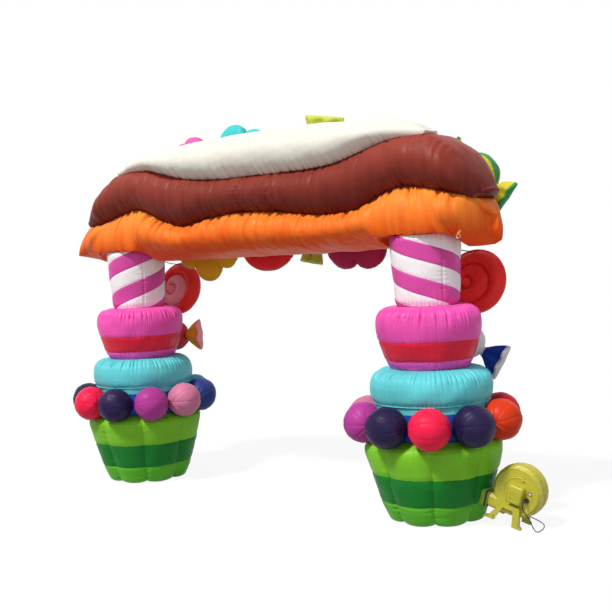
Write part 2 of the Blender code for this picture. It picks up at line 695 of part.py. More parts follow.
def d_ring(word, side, parent):
    """Steel ring whose straight bar turns in the webbing fold."""
    pivot = empty(f"d_ring_{word}_pivot", (ring_x(side), -CREASE_Y, RING_AXIS_Z), parent)
    path = [(RING_BAR_HALF * share, 0, 0) for share in (-1, -0.5, 0, 0.5, 1)]
    bow = 8
    for step in range(1, bow):
        angle = math.pi * step / bow
        path.append((RING_BAR_HALF * 1.12 * math.cos(angle), 0, -RING_BAR_HALF * 1.5 * math.sin(angle)))
    obj = swept(f"d_ring_{word}", path, RING_WIRE_RADIUS, 6, pivot, closed=True, normal=(0, 1, 0))
    finish(obj, "steel", pivot)


# Sweets

def petals(count, depth_share):
    return lambda angle: 1 - depth_share * (1 - math.sqrt(abs(math.cos(count * angle / 2))))


def facing_back(name, x, y, z, parent, turn=0.0, lean=0.0):
    """A frame whose Z looks along +Y and whose Y looks up, turned in its own plane."""
    outer = empty(name + "_lean", (x, y, z), parent, (-lean, 0, 0))
    facing = Euler((math.pi / 2, 0, math.pi)).to_matrix() @ Matrix.Rotation(turn, 3, "Z")
    return empty(name + "_place", (0, 0, 0), outer, facing.to_euler())


def on_beam(shares, stand_off):
    """A place before the beam's far face, given its shares of the half span and of the rise."""
    return shares[0] * HALF_SPAN, CREASE_Y + FACE_PUFF + GAP + stand_off, SEAT_Z + shares[1] * BEAM_RISE


def flower(name, shares, slip, radius, count, turn, paint, parent):
    place = facing_back(name, *on_beam(shares, -slip), parent, turn)
    thick = FLOWER_THICKNESS
    outer = [(BERRY_PORT_RADIUS, 0, 0), (0.74 * radius, 0, 1),
             (radius, 0.44 * thick, 1), (0.72 * radius, 0.84 * thick, 1), (0.34 * radius, 0.70 * thick, 0.3),
             (0.22 * radius, thick, 0), (0, 1.1 * thick, 0)]
    inner = [(0, 0.7 * thick, 0), (0.74 * radius, 0.42 * thick, 1), (BERRY_PORT_RADIUS, WALL, 0)]
    obj = turned(name, outer + inner, count * 6, place, petals(count, 0.30))
    return finish(obj, paint, place)


def gumdrop(name, turn, parent):
    place = facing_back(name, *on_beam(GUMDROP_SHARES, -GUMDROP_SLIP), parent, turn)
    thick = FLOWER_THICKNESS
    half_width = GUMDROP_HALF_WIDTH
    slim = GUMDROP_HALF_HEIGHT / half_width

    def oval(angle):
        return slim / math.hypot(slim * math.cos(angle), math.sin(angle))

    outer = [(BERRY_PORT_RADIUS, 0, 0), (0.70 * half_width, 0, 1), (half_width, 0.40 * thick, 1),
             (0.80 * half_width, 0.80 * thick, 1), (0, thick, 0)]
    inner = [(0, thick - WALL, 0), (0.78 * half_width, 0.45 * thick, 1), (BERRY_PORT_RADIUS, WALL, 0)]
    obj = turned(name, outer + inner, 16, place, oval)
    return finish(obj, "red", place)


def candy_loops(radius, half, wing_low, wing_high, edge, grow=0.0):
    """Sections of a wrapped sweet along X: fan, twist, ball, twist, fan."""
    shares = ((-1.0, wing_low, edge), (-0.78, 0.80 * wing_low, 1.1 * edge),
              (-0.52, 0.30 * radius, 0.30 * radius))
    ball = [(-0.40, 0.62), (-0.22, 0.93), (0, 1), (0.22, 0.93), (0.40, 0.62)]
    loops = []
    stations = list(shares)
    stations += [(s * radius / (0.42 * half), r * radius, r * radius) for s, r in ball]
    stations += [(0.52, 0.30 * radius, 0.30 * radius), (0.78, 0.80 * wing_high, 1.1 * edge),
                 (1.0, wing_high, edge)]
    for share, tall, thick in stations:
        loops.append([Vector((share * half, (thick + grow) * math.cos(a), (tall + grow) * math.sin(a)))
                      for a in around(12)])
    return loops


def candy(name, spot, tilt, radius, half, wing_low, wing_high, paint, parent):
    place = empty(name + "_place", spot, parent, (0, tilt, 0))
    obj = lofted(name, candy_loops(radius, half, wing_low, wing_high, CANDY_EDGE_HALF), place)
    hollow = radius - 2 * WALL
    air = turned(name + "_air", [(0, -hollow, 0), (0.8 * hollow, -0.45 * hollow, 0),
                                 (0.8 * hollow, 0.45 * hollow, 0), (0, hollow, 0)], 8, place)
    boolean(obj, air)
    port = cylinder(name + "_port", BERRY_PORT_RADIUS / 2, (0, -radius - CUT_OVERRUN, 0), (0, 0, 0), 6, place)
    boolean(obj, port)
    return finish(obj, paint, place)


def candy_y():
    """How far behind the axis a column's candy stands, so that its ball rests on the sloped flank."""
    (low_radius, low_z, _), (high_radius, high_z, _) = pink_outer()[1:3]
    share = (COLUMN_CANDY_Z - low_z) / (high_z - low_z)
    slope = math.atan2(high_radius - low_radius, high_z - low_z)
    flank = apothem(low_radius + share * (high_radius - low_radius))
    return flank + COLUMN_CANDY_RADIUS / math.cos(slope) - COLUMN_CANDY_SLIP


def swirl(angle):
    """The rim steps in once a turn, where the rolled tube ends."""
    return 1 - LOLLY_STEP_SHARE * ((angle / math.tau) % 1)


def lolly_profile(grow=0.0):
    radius, half = LOLLY_RADIUS + grow, LOLLY_THICKNESS / 2 + grow
    outer = [(0.72 * radius, -0.96 * half, 0.6), (0.95 * radius, -0.55 * half, 1),
             (radius, 0, 1), (0.95 * radius, 0.55 * half, 1), (0.72 * radius, 0.96 * half, 0.6),
             (0, half, 0)]
    return outer


def lollipop(word, side, parent):
    """Swirl disc leaning away from the column, its stick standing on the candy below."""
    x = side * (LOLLY_OUTSET_RIGHT if side > 0 else LOLLY_OUTSET_LEFT)
    height = (LOLLY_CENTRE_Z - COLUMN_CANDY_Z) / math.cos(LOLLY_LEAN)
    name = f"lollipop_{word}"
    y = candy_y() + height * math.sin(LOLLY_LEAN)
    disc = facing_back(name, x, y, LOLLY_CENTRE_Z, parent, 0, LOLLY_LEAN)
    inner = [(0, LOLLY_THICKNESS / 2 - WALL, 0), (0.80 * LOLLY_RADIUS, 0, 1),
             (BERRY_PORT_RADIUS, WALL - LOLLY_THICKNESS / 2, 0)]
    profile = [(BERRY_PORT_RADIUS, -LOLLY_THICKNESS / 2, 0)] + lolly_profile() + inner
    obj = turned(name, profile, 24, disc, swirl, math.pi / 24)
    foot = -height + COLUMN_CANDY_RADIUS / 2
    stick = cylinder(name + "_stick", STICK_RADIUS, (0, foot, 0), (0, -0.9 * LOLLY_RADIUS, 0), 8, disc)
    boolean(obj, stick, "UNION")
    ball = empty(name + "_foot", (side * COLUMN_CANDY_OUTSET, candy_y(), COLUMN_CANDY_Z), parent,
                 (0, candy_tilt(side), 0))
    grown = lofted(name + "_foot_cut", candy_loops(COLUMN_CANDY_RADIUS, COLUMN_CANDY_HALF, CANDY_WING_HALF,
                                                   CANDY_WING_HALF, CANDY_EDGE_HALF, GAP), ball)
    boolean(obj, grown)
    finish(obj, "red", disc)
    tether(word, x, y, disc, parent)


def candy_tilt(side):
    return math.radians(30) if side > 0 else math.radians(-3)


def tether(word, x, lolly_y, disc, parent):
    """Rope from the column's far face to the lollipop's top."""
    start_y = cane_facet(TETHER_Z) + GAP
    top_y = lolly_y + 0.93 * LOLLY_RADIUS * math.sin(LOLLY_LEAN)
    top_z = LOLLY_CENTRE_Z + 0.93 * LOLLY_RADIUS * math.cos(LOLLY_LEAN)
    run = top_y - start_y
    path = [(0, start_y, TETHER_Z), (0, start_y + 2 * TETHER_RADIUS, TETHER_Z)]
    for share in (0.3, 0.55, 0.8, 1.0):
        sag = TETHER_SAG * math.sin(math.pi * share)
        path.append((x * share, start_y + run * share, TETHER_Z + (top_z - TETHER_Z) * share - sag))
    obj = swept(f"lollipop_tether_{word}", path, TETHER_RADIUS, 6, parent)
    name = f"tether_cut_{word}"
    closed_profile = [(0, -LOLLY_THICKNESS / 2 - GAP, 0)] + lolly_profile(GAP)
    boolean(obj, turned(name, closed_profile, 24, disc, swirl, math.pi / 24))
    finish(obj, "black", parent)


def cane_facet(z):
    low, high = PINK_TOP_Z + GAP, SEAT_Z - GAP
    radius = CANE_FOOT_RADIUS + (CANE_TOP_RADIUS - CANE_FOOT_RADIUS) * (z - low) / (high - low)
    return apothem(radius)


def sweets(parent):
    flower("flower_pink", FLOWER_PINK_SHARES, FLOWER_PINK_SLIP, FLOWER_PINK_RADIUS, 5, math.radians(31),
           "magenta", parent)
    flower("flower_cyan", FLOWER_CYAN_SHARES, 0, FLOWER_CYAN_RADIUS, 5, math.radians(-2), "cyan", parent)
    flower("flower_yellow", FLOWER_YELLOW_SHARES, 0, FLOWER_YELLOW_RADIUS, 6, math.radians(30), "gold", parent)
    flower("flower_magenta", FLOWER_MAGENTA_SHARES, 0, FLOWER_MAGENTA_RADIUS, 5, math.radians(18),
           "magenta", parent)
    gumdrop("gumdrop_red", math.radians(-6), parent)
    candy("candy_middle", on_beam(CANDY_MIDDLE_SHARES, CANDY_MIDDLE_RADIUS - CANDY_MIDDLE_SLIP),
          CANDY_MIDDLE_TILT, CANDY_MIDDLE_RADIUS, CANDY_MIDDLE_HALF, *CANDY_MIDDLE_WINGS, "lime", parent)
    candy("candy_top", on_beam(CANDY_TOP_SHARES, CANDY_TOP_RADIUS - CANDY_TOP_SLIP), math.radians(40),
          CANDY_TOP_RADIUS, CANDY_TOP_HALF, CANDY_WING_HALF, CANDY_WING_HALF, "leaf", parent)


# Blower

def scroll_outline(inset=0.0):
    """Circle of the scroll with the tangent duct at its lower left."""
    radius = SCROLL_RADIUS - inset
    roof = -SCROLL_RADIUS + MOUTH_HEIGHT - inset
    last = math.pi + math.asin(-roof / radius)
    steps = 20
    outline = [(MOUTH_U + inset, -radius)]
    for step in range(steps + 1):
        angle = -math.pi / 2 + (last + math.pi / 2) * step / steps
        outline.append((radius * math.cos(angle), radius * math.sin(angle)))
    outline.append((MOUTH_U + inset, roof))
    return outline


def stand_outline():
    """One pair of feet with the arch between them."""
    left_out, left_in, right_in, right_out = (share * SCROLL_RADIUS for share in STAND_FOOT_SHARES)
    left_flare, right_flare = (share * SCROLL_RADIUS for share in STAND_FLARE_SHARES)
    left_arch, right_arch = (share * SCROLL_RADIUS for share in STAND_ARCH_SHARES)
    left_top, right_top = (share * SCROLL_RADIUS for share in STAND_TOP_SHARES)
    ground, arch = -FOOT_DROP, STAND_TOP_W - STAND_BAR
    sole, flare = ground + STAND_SOLE, ground + 2 * STAND_SOLE
    return [(left_out, ground), (left_in, ground), (left_in, sole), (left_arch, arch), (right_arch, arch),
            (right_in, sole), (right_in, ground), (right_out, ground), (right_out, sole),
            (right_flare, flare), (right_top, STAND_TOP_W), (left_top, STAND_TOP_W), (left_flare, flare),
            (left_out, sole)]


def housing(word, side, parent):
    """Half of the scroll with its pair of feet, from the split plane to the outer face."""
    rings = []
    for inset, depth in ((0, GAP / 2), (0, SCROLL_HALF_WIDTH - SCROLL_EDGE),
                         (SCROLL_EDGE, SCROLL_HALF_WIDTH)):
        rings.append([Vector((u, side * depth, w)) for u, w in scroll_outline(inset)])
    inner = []
    for inset, depth in ((SHELL, -CUT_OVERRUN), (SHELL, SCROLL_HALF_WIDTH - SCROLL_EDGE),
                         (SCROLL_EDGE, SCROLL_HALF_WIDTH - SHELL)):
        inner.append([Vector((u, side * depth, w)) for u, w in scroll_outline(inset)])
    name = f"blower_housing_{word}"
    obj = lofted(name, rings, parent)
    boolean(obj, lofted(name + "_space", inner, parent))
    low, high = sorted((side * (SCROLL_HALF_WIDTH - SHELL / 2), side * (SCROLL_HALF_WIDTH + STAND_THICKNESS)))
    boolean(obj, prism(name + "_feet", stand_outline(), low, high, parent), "UNION")
    low, high = sorted((-side * CUT_OVERRUN, side * (SCROLL_HALF_WIDTH - SHELL)))
    mouth = box(name + "_mouth", (MOUTH_U - CUT_OVERRUN, low, -SCROLL_RADIUS + SHELL),
                (MOUTH_U + CUT_OVERRUN, high, -SCROLL_RADIUS + MOUTH_HEIGHT - SHELL), parent)
    boolean(obj, mouth)
    hole = INLET_RADIUS if side > 0 else SHAFT_HOLE_RADIUS
    face = side * SCROLL_HALF_WIDTH
    boolean(obj, cylinder(name + "_hole", hole, (AXIS_U, face - CUT_OVERRUN, AXIS_W),
                          (AXIS_U, face + CUT_OVERRUN, AXIS_W), 20, parent))
    if side < 0:
        half = SWITCH_LENGTH / 2 + GAP
        reach = SWITCH_RADIUS + 2 * GAP
        boolean(obj, box(name + "_pocket", (SWITCH_U - reach, face - CUT_OVERRUN, SWITCH_W - half),
                         (SWITCH_U + reach, face + CUT_OVERRUN, SWITCH_W + half), parent))
    return finish(obj, "mustard", parent)


def impeller(parent):
    """Squirrel cage on its plate, with the shaft that runs in the motor."""
    pivot = empty("impeller_axis", (AXIS_U, 0, AXIS_W), parent)
    back = -SCROLL_HALF_WIDTH + IMPELLER_SETBACK
    front = back + IMPELLER_DEPTH
    obj = cylinder("blower_impeller", IMPELLER_RADIUS, (0, back, 0), (0, back + PLATE_THICKNESS, 0), 28, pivot)
    blades = bmesh.new()
    for angle in around(IMPELLER_BLADES):
        turn = Matrix.Rotation(angle, 4, "Y")
        lean = Matrix.Rotation(math.radians(35), 4, "Y")
        shift = Matrix.Translation((IMPELLER_RADIUS - BLADE_LENGTH / 2 - 2 * BLADE_THICKNESS, 0, 0))
        size = Matrix.Diagonal((BLADE_LENGTH, IMPELLER_DEPTH - PLATE_THICKNESS, BLADE_THICKNESS, 1))
        middle = Matrix.Translation((0, (back + PLATE_THICKNESS / 2 + front - PLATE_THICKNESS / 2) / 2, 0))
        bmesh.ops.create_cube(blades, size=1, matrix=middle @ turn @ shift @ lean @ size)
    mesh = bpy.data.meshes.new("blades")
    blades.to_mesh(mesh)
    blades.free()
    cage = bpy.data.objects.new("impeller_blades", mesh)
    bpy.context.scene.collection.objects.link(cage)
    cage.parent = pivot
    boolean(obj, cage, "UNION")
    rim = cylinder("impeller_rim", IMPELLER_RADIUS, (0, front - PLATE_THICKNESS, 0), (0, front, 0), 28, pivot)
    eye = cylinder("impeller_eye", IMPELLER_RADIUS - BLADE_LENGTH, (0, front - CUT_OVERRUN, 0),
                   (0, front + CUT_OVERRUN, 0), 28, pivot)
    boolean(rim, eye)
    boolean(obj, rim, "UNION")
    shaft_end = -SCROLL_HALF_WIDTH - MOTOR_BORE_DEPTH + 2 * GAP
    boolean(obj, cylinder("impeller_shaft", SHAFT_RADIUS, (0, shaft_end, 0), (0, back + 4 * PLATE_THICKNESS, 0),
                          12, pivot), "UNION")
    return finish(obj, "grey", pivot)


def motor(parent):
    face = -SCROLL_HALF_WIDTH - GAP
    obj = cylinder("blower_motor", MOTOR_RADIUS, (AXIS_U, face, AXIS_W), (AXIS_U, face - MOTOR_LENGTH, AXIS_W),
                   16, parent)
    bore = cylinder("motor_bore", SHAFT_RADIUS + GAP, (AXIS_U, face + CUT_OVERRUN, AXIS_W),
                    (AXIS_U, face - MOTOR_BORE_DEPTH, AXIS_W), 12, parent)
    boolean(obj, bore)
    return finish(obj, "steel", parent)


def rounded_rectangle(width, height, corner, steps=3):
    outline = []
    for cx, cz, start in ((1, -1, -0.5), (1, 1, 0), (-1, 1, 0.5), (-1, -1, 1)):
        for step in range(steps + 1):
            angle = math.pi * (start + 0.5 * step / steps)
            outline.append((cx * (width / 2 - corner) + corner * math.cos(angle),
                            cz * (height / 2 - corner) + corner * math.sin(angle)))
    return outline


def motor_cover(parent):
    place = empty("motor_cover_place", (AXIS_U + COVER_SHIFT_U, -SCROLL_HALF_WIDTH - GAP,
                                        AXIS_W + COVER_SHIFT_W), parent)
    chamfer = COVER_CORNER / 2
    width, height = 2 * (MOTOR_RADIUS + COVER_ROOM_U), 2 * (MOTOR_RADIUS + COVER_ROOM_W)
    depth_out = MOTOR_LENGTH + COVER_ROOM_END + 2 * SHELL
    loops = []
    for inset, depth in ((0, 0), (0, depth_out - chamfer), (chamfer, depth_out)):
        loops.append([Vector((u, -depth, w)) for u, w in rounded_rectangle(
            width - 2 * inset, height - 2 * inset, COVER_CORNER - inset / 2)])
    obj = lofted("motor_cover", loops, place)
    space = prism("motor_cover_space", rounded_rectangle(
        width - 4 * SHELL, height - 4 * SHELL, COVER_CORNER - SHELL),
        2 * SHELL - depth_out, CUT_OVERRUN, place)
    boolean(obj, space)
    return finish(obj, "mustard", place)


def inlet_grille(parent):
    place = empty("inlet_grille_place", (AXIS_U, SCROLL_HALF_WIDTH + GAP, AXIS_W), parent)
    radius = INLET_RADIUS + GRILLE_LAP
    obj = cylinder("inlet_grille", radius, (0, 0, 0), (0, GRILLE_THICKNESS, 0), 24, place)
    slots = bmesh.new()
    pitch = 2 * INLET_RADIUS / GRILLE_SLOTS
    for index in range(GRILLE_SLOTS):
        level = (index - (GRILLE_SLOTS - 1) / 2) * pitch
        half = math.sqrt((INLET_RADIUS - GRILLE_SLOT_WIDTH / 4) ** 2
                         - (abs(level) + GRILLE_SLOT_WIDTH / 2) ** 2)
        size = Matrix.Diagonal((2 * half, 4 * GRILLE_THICKNESS, GRILLE_SLOT_WIDTH, 1))
        bmesh.ops.create_cube(slots, size=1, matrix=Matrix.Translation((0, GRILLE_THICKNESS / 2, level)) @ size)
    mesh = bpy.data.meshes.new("slots")
    slots.to_mesh(mesh)
    slots.free()
    cutter = bpy.data.objects.new("inlet_slots", mesh)
    bpy.context.scene.collection.objects.link(cutter)
    cutter.parent = place
    boolean(obj, cutter)
    return finish(obj, "black", place)


def power_switch(parent):
    """Rocker: a round bar with a shallow V on its outer side, held in the housing's pocket."""
    pivot = empty("power_switch_axis", (SWITCH_U, -SCROLL_HALF_WIDTH + SWITCH_SINK, SWITCH_W), parent)
    outline = []
    for step in range(9):
        angle = math.radians(-30) + math.radians(240) * step / 8
        outline.append((SWITCH_RADIUS * math.cos(angle), SWITCH_RADIUS * math.sin(angle)))
    outline.append((0, -0.55 * SWITCH_RADIUS))
    count = len(outline)
    half = SWITCH_LENGTH / 2
    spin = Matrix.Rotation(SWITCH_REST, 2)
    turned_outline = [spin @ Vector(p) for p in outline]
    points = [(p.x, p.y, s * half) for s in (-1, 1) for p in turned_outline]
    faces = [(i, (i + 1) % count, count + (i + 1) % count, count + i) for i in range(count)]
    faces += [tuple(range(count)), tuple(range(count, 2 * count))]
    return finish(mesh_object("power_switch", points, faces, pivot), "grey", pivot)


def cable_gland(parent):
    place = empty("cable_gland_place", (GLAND_U, -SCROLL_HALF_WIDTH - GAP, GLAND_W), parent,
                  (math.pi / 2, 0, 0))
    profile = [(0, 0, 0), (GLAND_RADIUS, 0, 0), (GLAND_RADIUS, 0.3 * GLAND_LENGTH, 0),
               (GLAND_NOSE_RADIUS, GLAND_LENGTH, 0), (0, GLAND_LENGTH, 0)]
    obj = turned("cable_gland", profile, 12, place)
    return finish(obj, "black", place)


def blower_point(u, v, w):
    """A point of the blower's frame as seen from the middle of the right column's foot."""
    return Matrix.Rotation(BLOWER_ROLL, 3, "Y") @ Vector((u, v, w)) + Vector((BLOWER_X, 0, BLOWER_Z))


def sleeve_line():
    """From inside the blower's mouth to inside the base, in the right column's frame."""
    mouth_w = -SCROLL_RADIUS + MOUTH_HEIGHT / 2
    return blower_point(MOUTH_U, 0, mouth_w), blower_point(MOUTH_U - SLEEVE_REACH, 0, mouth_w)


def sleeve(blower_frame, column):
    """Fabric sleeve pulled over the blower's mouth; its far end lies on the base."""
    mouth_w = -SCROLL_RADIUS + MOUTH_HEIGHT / 2
    place = empty("sleeve_place", (MOUTH_U, 0, mouth_w), blower_frame)

    def ring(u, grow):
        wide, tall = SCROLL_HALF_WIDTH + grow, MOUTH_HEIGHT / 2 + grow
        return [Vector((u, y, z)) for y, z in rounded_rectangle(2 * wide, 2 * tall, SLEEVE_CORNER, 2)]

    lap, reach = SLEEVE_LAP, SLEEVE_REACH
    outer = [ring(lap, SLEEVE_WALL + GAP), ring(0, SLEEVE_WALL + GAP), ring(-0.4 * reach, 2 * SLEEVE_WALL),
             ring(-reach, SLEEVE_WALL)]
    inner = [ring(-reach, 0), ring(-0.4 * reach, SLEEVE_WALL), ring(0, GAP), ring(lap, GAP)]
    points, faces = ring_stack(outer + inner, closed=True)
    obj = mesh_object("inflation_sleeve", points, faces, place)
    grown = [(0, -GAP, 0)] + base_outer(GAP) + [(0, BASE_HEIGHT + GAP, 0)]
    boolean(obj, turned("base_cut", grown, LOBES * POINTS_PER_LOBE, column, scallop))
    return finish(obj, "lime", place)


# Power cord

def smooth(points, step):
    """Points at equal steps along a Catmull-Rom curve through the given ones."""
    ends = [2 * Vector(points[0]) - Vector(points[1])] + [Vector(p) for p in points]
    ends.append(2 * Vector(points[-1]) - Vector(points[-2]))
    fine = []
    parts = 12
    for index in range(1, len(ends) - 2):
        a, b, c, d = ends[index - 1:index + 3]
        for part in range(parts):
            t = part / parts
            fine.append(0.5 * (2 * b + (c - a) * t + (2 * a - 5 * b + 4 * c - d) * t * t
                               + (3 * b - a - 3 * c + d) * t ** 3))
    fine.append(ends[-2])
    total = sum((q - p).length for p, q in zip(fine, fine[1:]))
    count = max(2, round(total / step))
    spaced, travelled, goal = [fine[0]], 0.0, total / count
    for p, q in zip(fine, fine[1:]):
        length = (q - p).length
        while travelled + length >= goal - 1e-9 and len(spaced) < count:
            spaced.append(p.lerp(q, (goal - travelled) / length))
            goal += total / count
        travelled += length
    spaced.append(fine[-1])
    return spaced, total


def coil_points():
    """Two layers of loops: inward below, outward above, climbing where the spiral turns back."""
    turns = COIL_TURNS_PER_LAYER
    steps = round(2 * turns * COIL_POINTS)
    points = []
    for step in range(steps + 1):
        turn = step / COIL_POINTS
        inward = min(turn, 2 * turns - turn)
        radius = COIL_RADIUS_OUT - COIL_PITCH * inward
        climb = min(max((turn - turns) / 0.5 + 0.5, 0), 1)
        angle = math.pi / 2 + math.tau * turn
        points.append(Vector((COIL_X + radius * math.cos(angle), COIL_Y + radius * math.sin(angle),
                              CORD_ROUTE[-1][2] + COIL_LAYER_RISE * climb * climb * (3 - 2 * climb))))
    return points


def least_gap(points, radius):
    """Least clear distance between stretches of the coil that aren't neighbours."""
    least = math.inf
    window = COIL_POINTS // 3
    for i, p in enumerate(points):
        for q in points[i + window:]:
            least = min(least, (p - q).length - 2 * radius)
    return least


def cord_curve(name, points, resolution, parent):
    data = bpy.data.curves.new(name, "CURVE")
    data.dimensions = "3D"
    data.bevel_depth = CORD_RADIUS
    data.bevel_resolution = resolution
    data.use_fill_caps = True
    line = data.splines.new("POLY")
    line.points.add(len(points) - 1)
    for slot, point in zip(line.points, points):
        slot.co = (*point, 1)
    obj = bpy.data.objects.new(name, data)
    bpy.context.scene.collection.objects.link(obj)
    return finish(obj, "black", parent)


def power_cord(parent):
    coil = coil_points()
    lead_in = coil[0] + Vector((2 * CORD_RADIUS, 0, 0))
    along = (coil[-1] - coil[-2]).normalized()
    along.z = 0
    lead_out = coil[-1] + along * 2 * CORD_RADIUS
    out = -SCROLL_HALF_WIDTH - 2 * GAP - GLAND_LENGTH
    start = [blower_point(GLAND_U, out - reach, GLAND_W) + Vector((HALF_SPAN, 0, 0))
             for reach in (0, 2.5 * 2 * CORD_RADIUS)]
    route, free = smooth(start + CORD_ROUTE, CORD_STEP)
    route[-1] = Vector((lead_in.x + GAP, lead_in.y, lead_in.z))
    cord_curve("power_cord", route, 2, parent)
    wound = [lead_in] + coil + [lead_out]
    cord_curve("cord_coil", wound, 1, parent)
    length = free + sum((q - p).length for p, q in zip(wound, wound[1:]))
    print("cord length", round(length, 3), "points", len(route), "coil gap",
          round(least_gap(coil, CORD_RADIUS), 5))
    plug(lead_out + along * GAP, along, parent)


def plug(start, along, parent):
    """Round plug with two pins, lying on the ground at the coil's end."""
    turn = math.atan2(along.y, along.x)
    place = empty("power_plug_place", start, parent, (0, math.pi / 2, turn))
    profile = [(0, 0, 0), (CORD_RADIUS + 2 * GAP, 0, 0), (0.9 * PLUG_RADIUS, 0.4 * PLUG_LENGTH, 0),
               (0.9 * PLUG_RADIUS, PLUG_LENGTH, 0), (0, PLUG_LENGTH, 0)]
    obj = turned("power_plug", profile, 12, place)
    for side in (-1, 1):
        pin = cylinder(f"plug_pin_{side}", PIN_RADIUS, (0, side * PIN_SPREAD / 2, PLUG_LENGTH - 2 * PIN_RADIUS),
                       (0, side * PIN_SPREAD / 2, PLUG_LENGTH + PIN_LENGTH), 8, place)
        boolean(obj, pin, "UNION")
    return finish(obj, "black", place)


def build():
    clear_scene()
    middle = empty("arch_middle", (MIDDLE_X, MIDDLE_Y, 0))
    columns = {}
    for side, word, turn, paints in ((-1, "left", BERRY_TURN_LEFT, BERRY_PAINT_LEFT),
                                     (1, "right", BERRY_TURN_RIGHT, BERRY_PAINT_RIGHT)):
        column = empty(f"column_{word}", (side * HALF_SPAN, 0, 0), middle)
        columns[word] = column
        base(f"base_{word}", column, side > 0)
        collar_hub = empty(f"collar_{word}_place", (0, 0, 0), column, (0, 0, turn))
        collar(f"collar_{word}", collar_hub)
        teal_tier(f"teal_tier_{word}", column)
        pink_tier(f"pink_tier_{word}", column)
        cane(f"candy_column_{word}", column)
        berries(word, column, turn, paints)
        spot = (side * COLUMN_CANDY_OUTSET, candy_y(), COLUMN_CANDY_Z)
        candy(f"candy_{word}", spot, candy_tilt(side), COLUMN_CANDY_RADIUS, COLUMN_CANDY_HALF,
              CANDY_WING_HALF, CANDY_WING_HALF, "sky" if side > 0 else "gold", column)
        lollipop(word, side, column)
        d_ring(word, side, middle)
    beam(middle)
    sweets(middle)
    blower = empty("blower_frame", (BLOWER_X, 0, BLOWER_Z), columns["right"], (0, BLOWER_ROLL, 0))
    housing("front", -1, blower)
    housing("back", 1, blower)
    impeller(blower)
    motor(blower)
    motor_cover(blower)
    inlet_grille(blower)
    power_switch(blower)
    cable_gland(blower)
    sleeve(blower, columns["right"])
    power_cord(middle)


build()
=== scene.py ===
"""Looks of the inflatable entrance arch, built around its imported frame. Metres, world frame of the CAD."""
import math

import bmesh
import bpy
import numpy as np
from mathutils import Matrix, Vector


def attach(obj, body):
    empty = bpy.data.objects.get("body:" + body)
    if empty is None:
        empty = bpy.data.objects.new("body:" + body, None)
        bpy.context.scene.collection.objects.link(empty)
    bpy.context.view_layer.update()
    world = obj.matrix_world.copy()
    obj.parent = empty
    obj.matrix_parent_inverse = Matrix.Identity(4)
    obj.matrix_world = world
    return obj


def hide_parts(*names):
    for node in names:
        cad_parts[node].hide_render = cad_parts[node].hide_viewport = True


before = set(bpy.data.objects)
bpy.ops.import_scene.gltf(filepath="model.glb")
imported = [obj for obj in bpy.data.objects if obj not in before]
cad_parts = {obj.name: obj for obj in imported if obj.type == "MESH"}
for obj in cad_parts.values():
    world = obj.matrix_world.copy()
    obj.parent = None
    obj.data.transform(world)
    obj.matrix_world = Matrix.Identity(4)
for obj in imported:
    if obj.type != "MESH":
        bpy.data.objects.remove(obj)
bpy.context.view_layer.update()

# Shared places, as in the CAD source
MIDDLE = np.array([-0.10172, -0.04429, 0.0])
HALF_SPAN = 1.5415
COLUMNS = {"left": MIDDLE[0] - HALF_SPAN, "right": MIDDLE[0] + HALF_SPAN}
COLUMN_Y = MIDDLE[1]
SEAT_Z, BEAM_RISE = 2.085, 0.880
CREASE_Y = 0.200
HAND = {"left": -1, "right": 1}
TAU = math.tau


def in_scene(name, data):
    obj = bpy.data.objects.new(name, data)
    bpy.context.scene.collection.objects.link(obj)
    return obj


# Camera, as fitted to the photograph
CAMERA_AT = (5.23908, -6.38409, 2.0116)
YAW, PITCH, ROLL = (math.radians(a) for a in (-37.8829, 3.1696, 2.8974))
FOCAL_PIXELS, PICTURE_PIXELS, SENSOR = 1000, 612, 36


def camera():
    forward = Vector((math.sin(YAW) * math.cos(PITCH), math.cos(YAW) * math.cos(PITCH), -math.sin(PITCH)))
    level = Vector((math.cos(YAW), -math.sin(YAW), 0))
    above = level.cross(forward)
    right = math.cos(ROLL) * level - math.sin(ROLL) * above
    up = math.sin(ROLL) * level + math.cos(ROLL) * above
    data = bpy.data.cameras.new("photo_view")
    data.sensor_width = SENSOR
    data.lens = FOCAL_PIXELS / PICTURE_PIXELS * SENSOR
    data.clip_end = 200
    obj = in_scene("photo_view", data)
    rows = [[right[i], up[i], -forward[i], CAMERA_AT[i]] for i in range(3)]
    obj.matrix_world = Matrix(rows + [[0, 0, 0, 1]])
    bpy.context.scene.camera = obj


camera()


# Materials: wave scales that draw the weave and the ripstop grid
THREADS, RIPSTOP = 230, 52


def linear(rgb):
    """Linear colour of an sRGB one given from 0 to 255."""
    return [((c / 255 + 0.055) / 1.055) ** 2.4 if c > 10 else c / 255 / 12.92 for c in rgb]


def shade(colour, share):
    return [min(1, c * share) for c in colour]


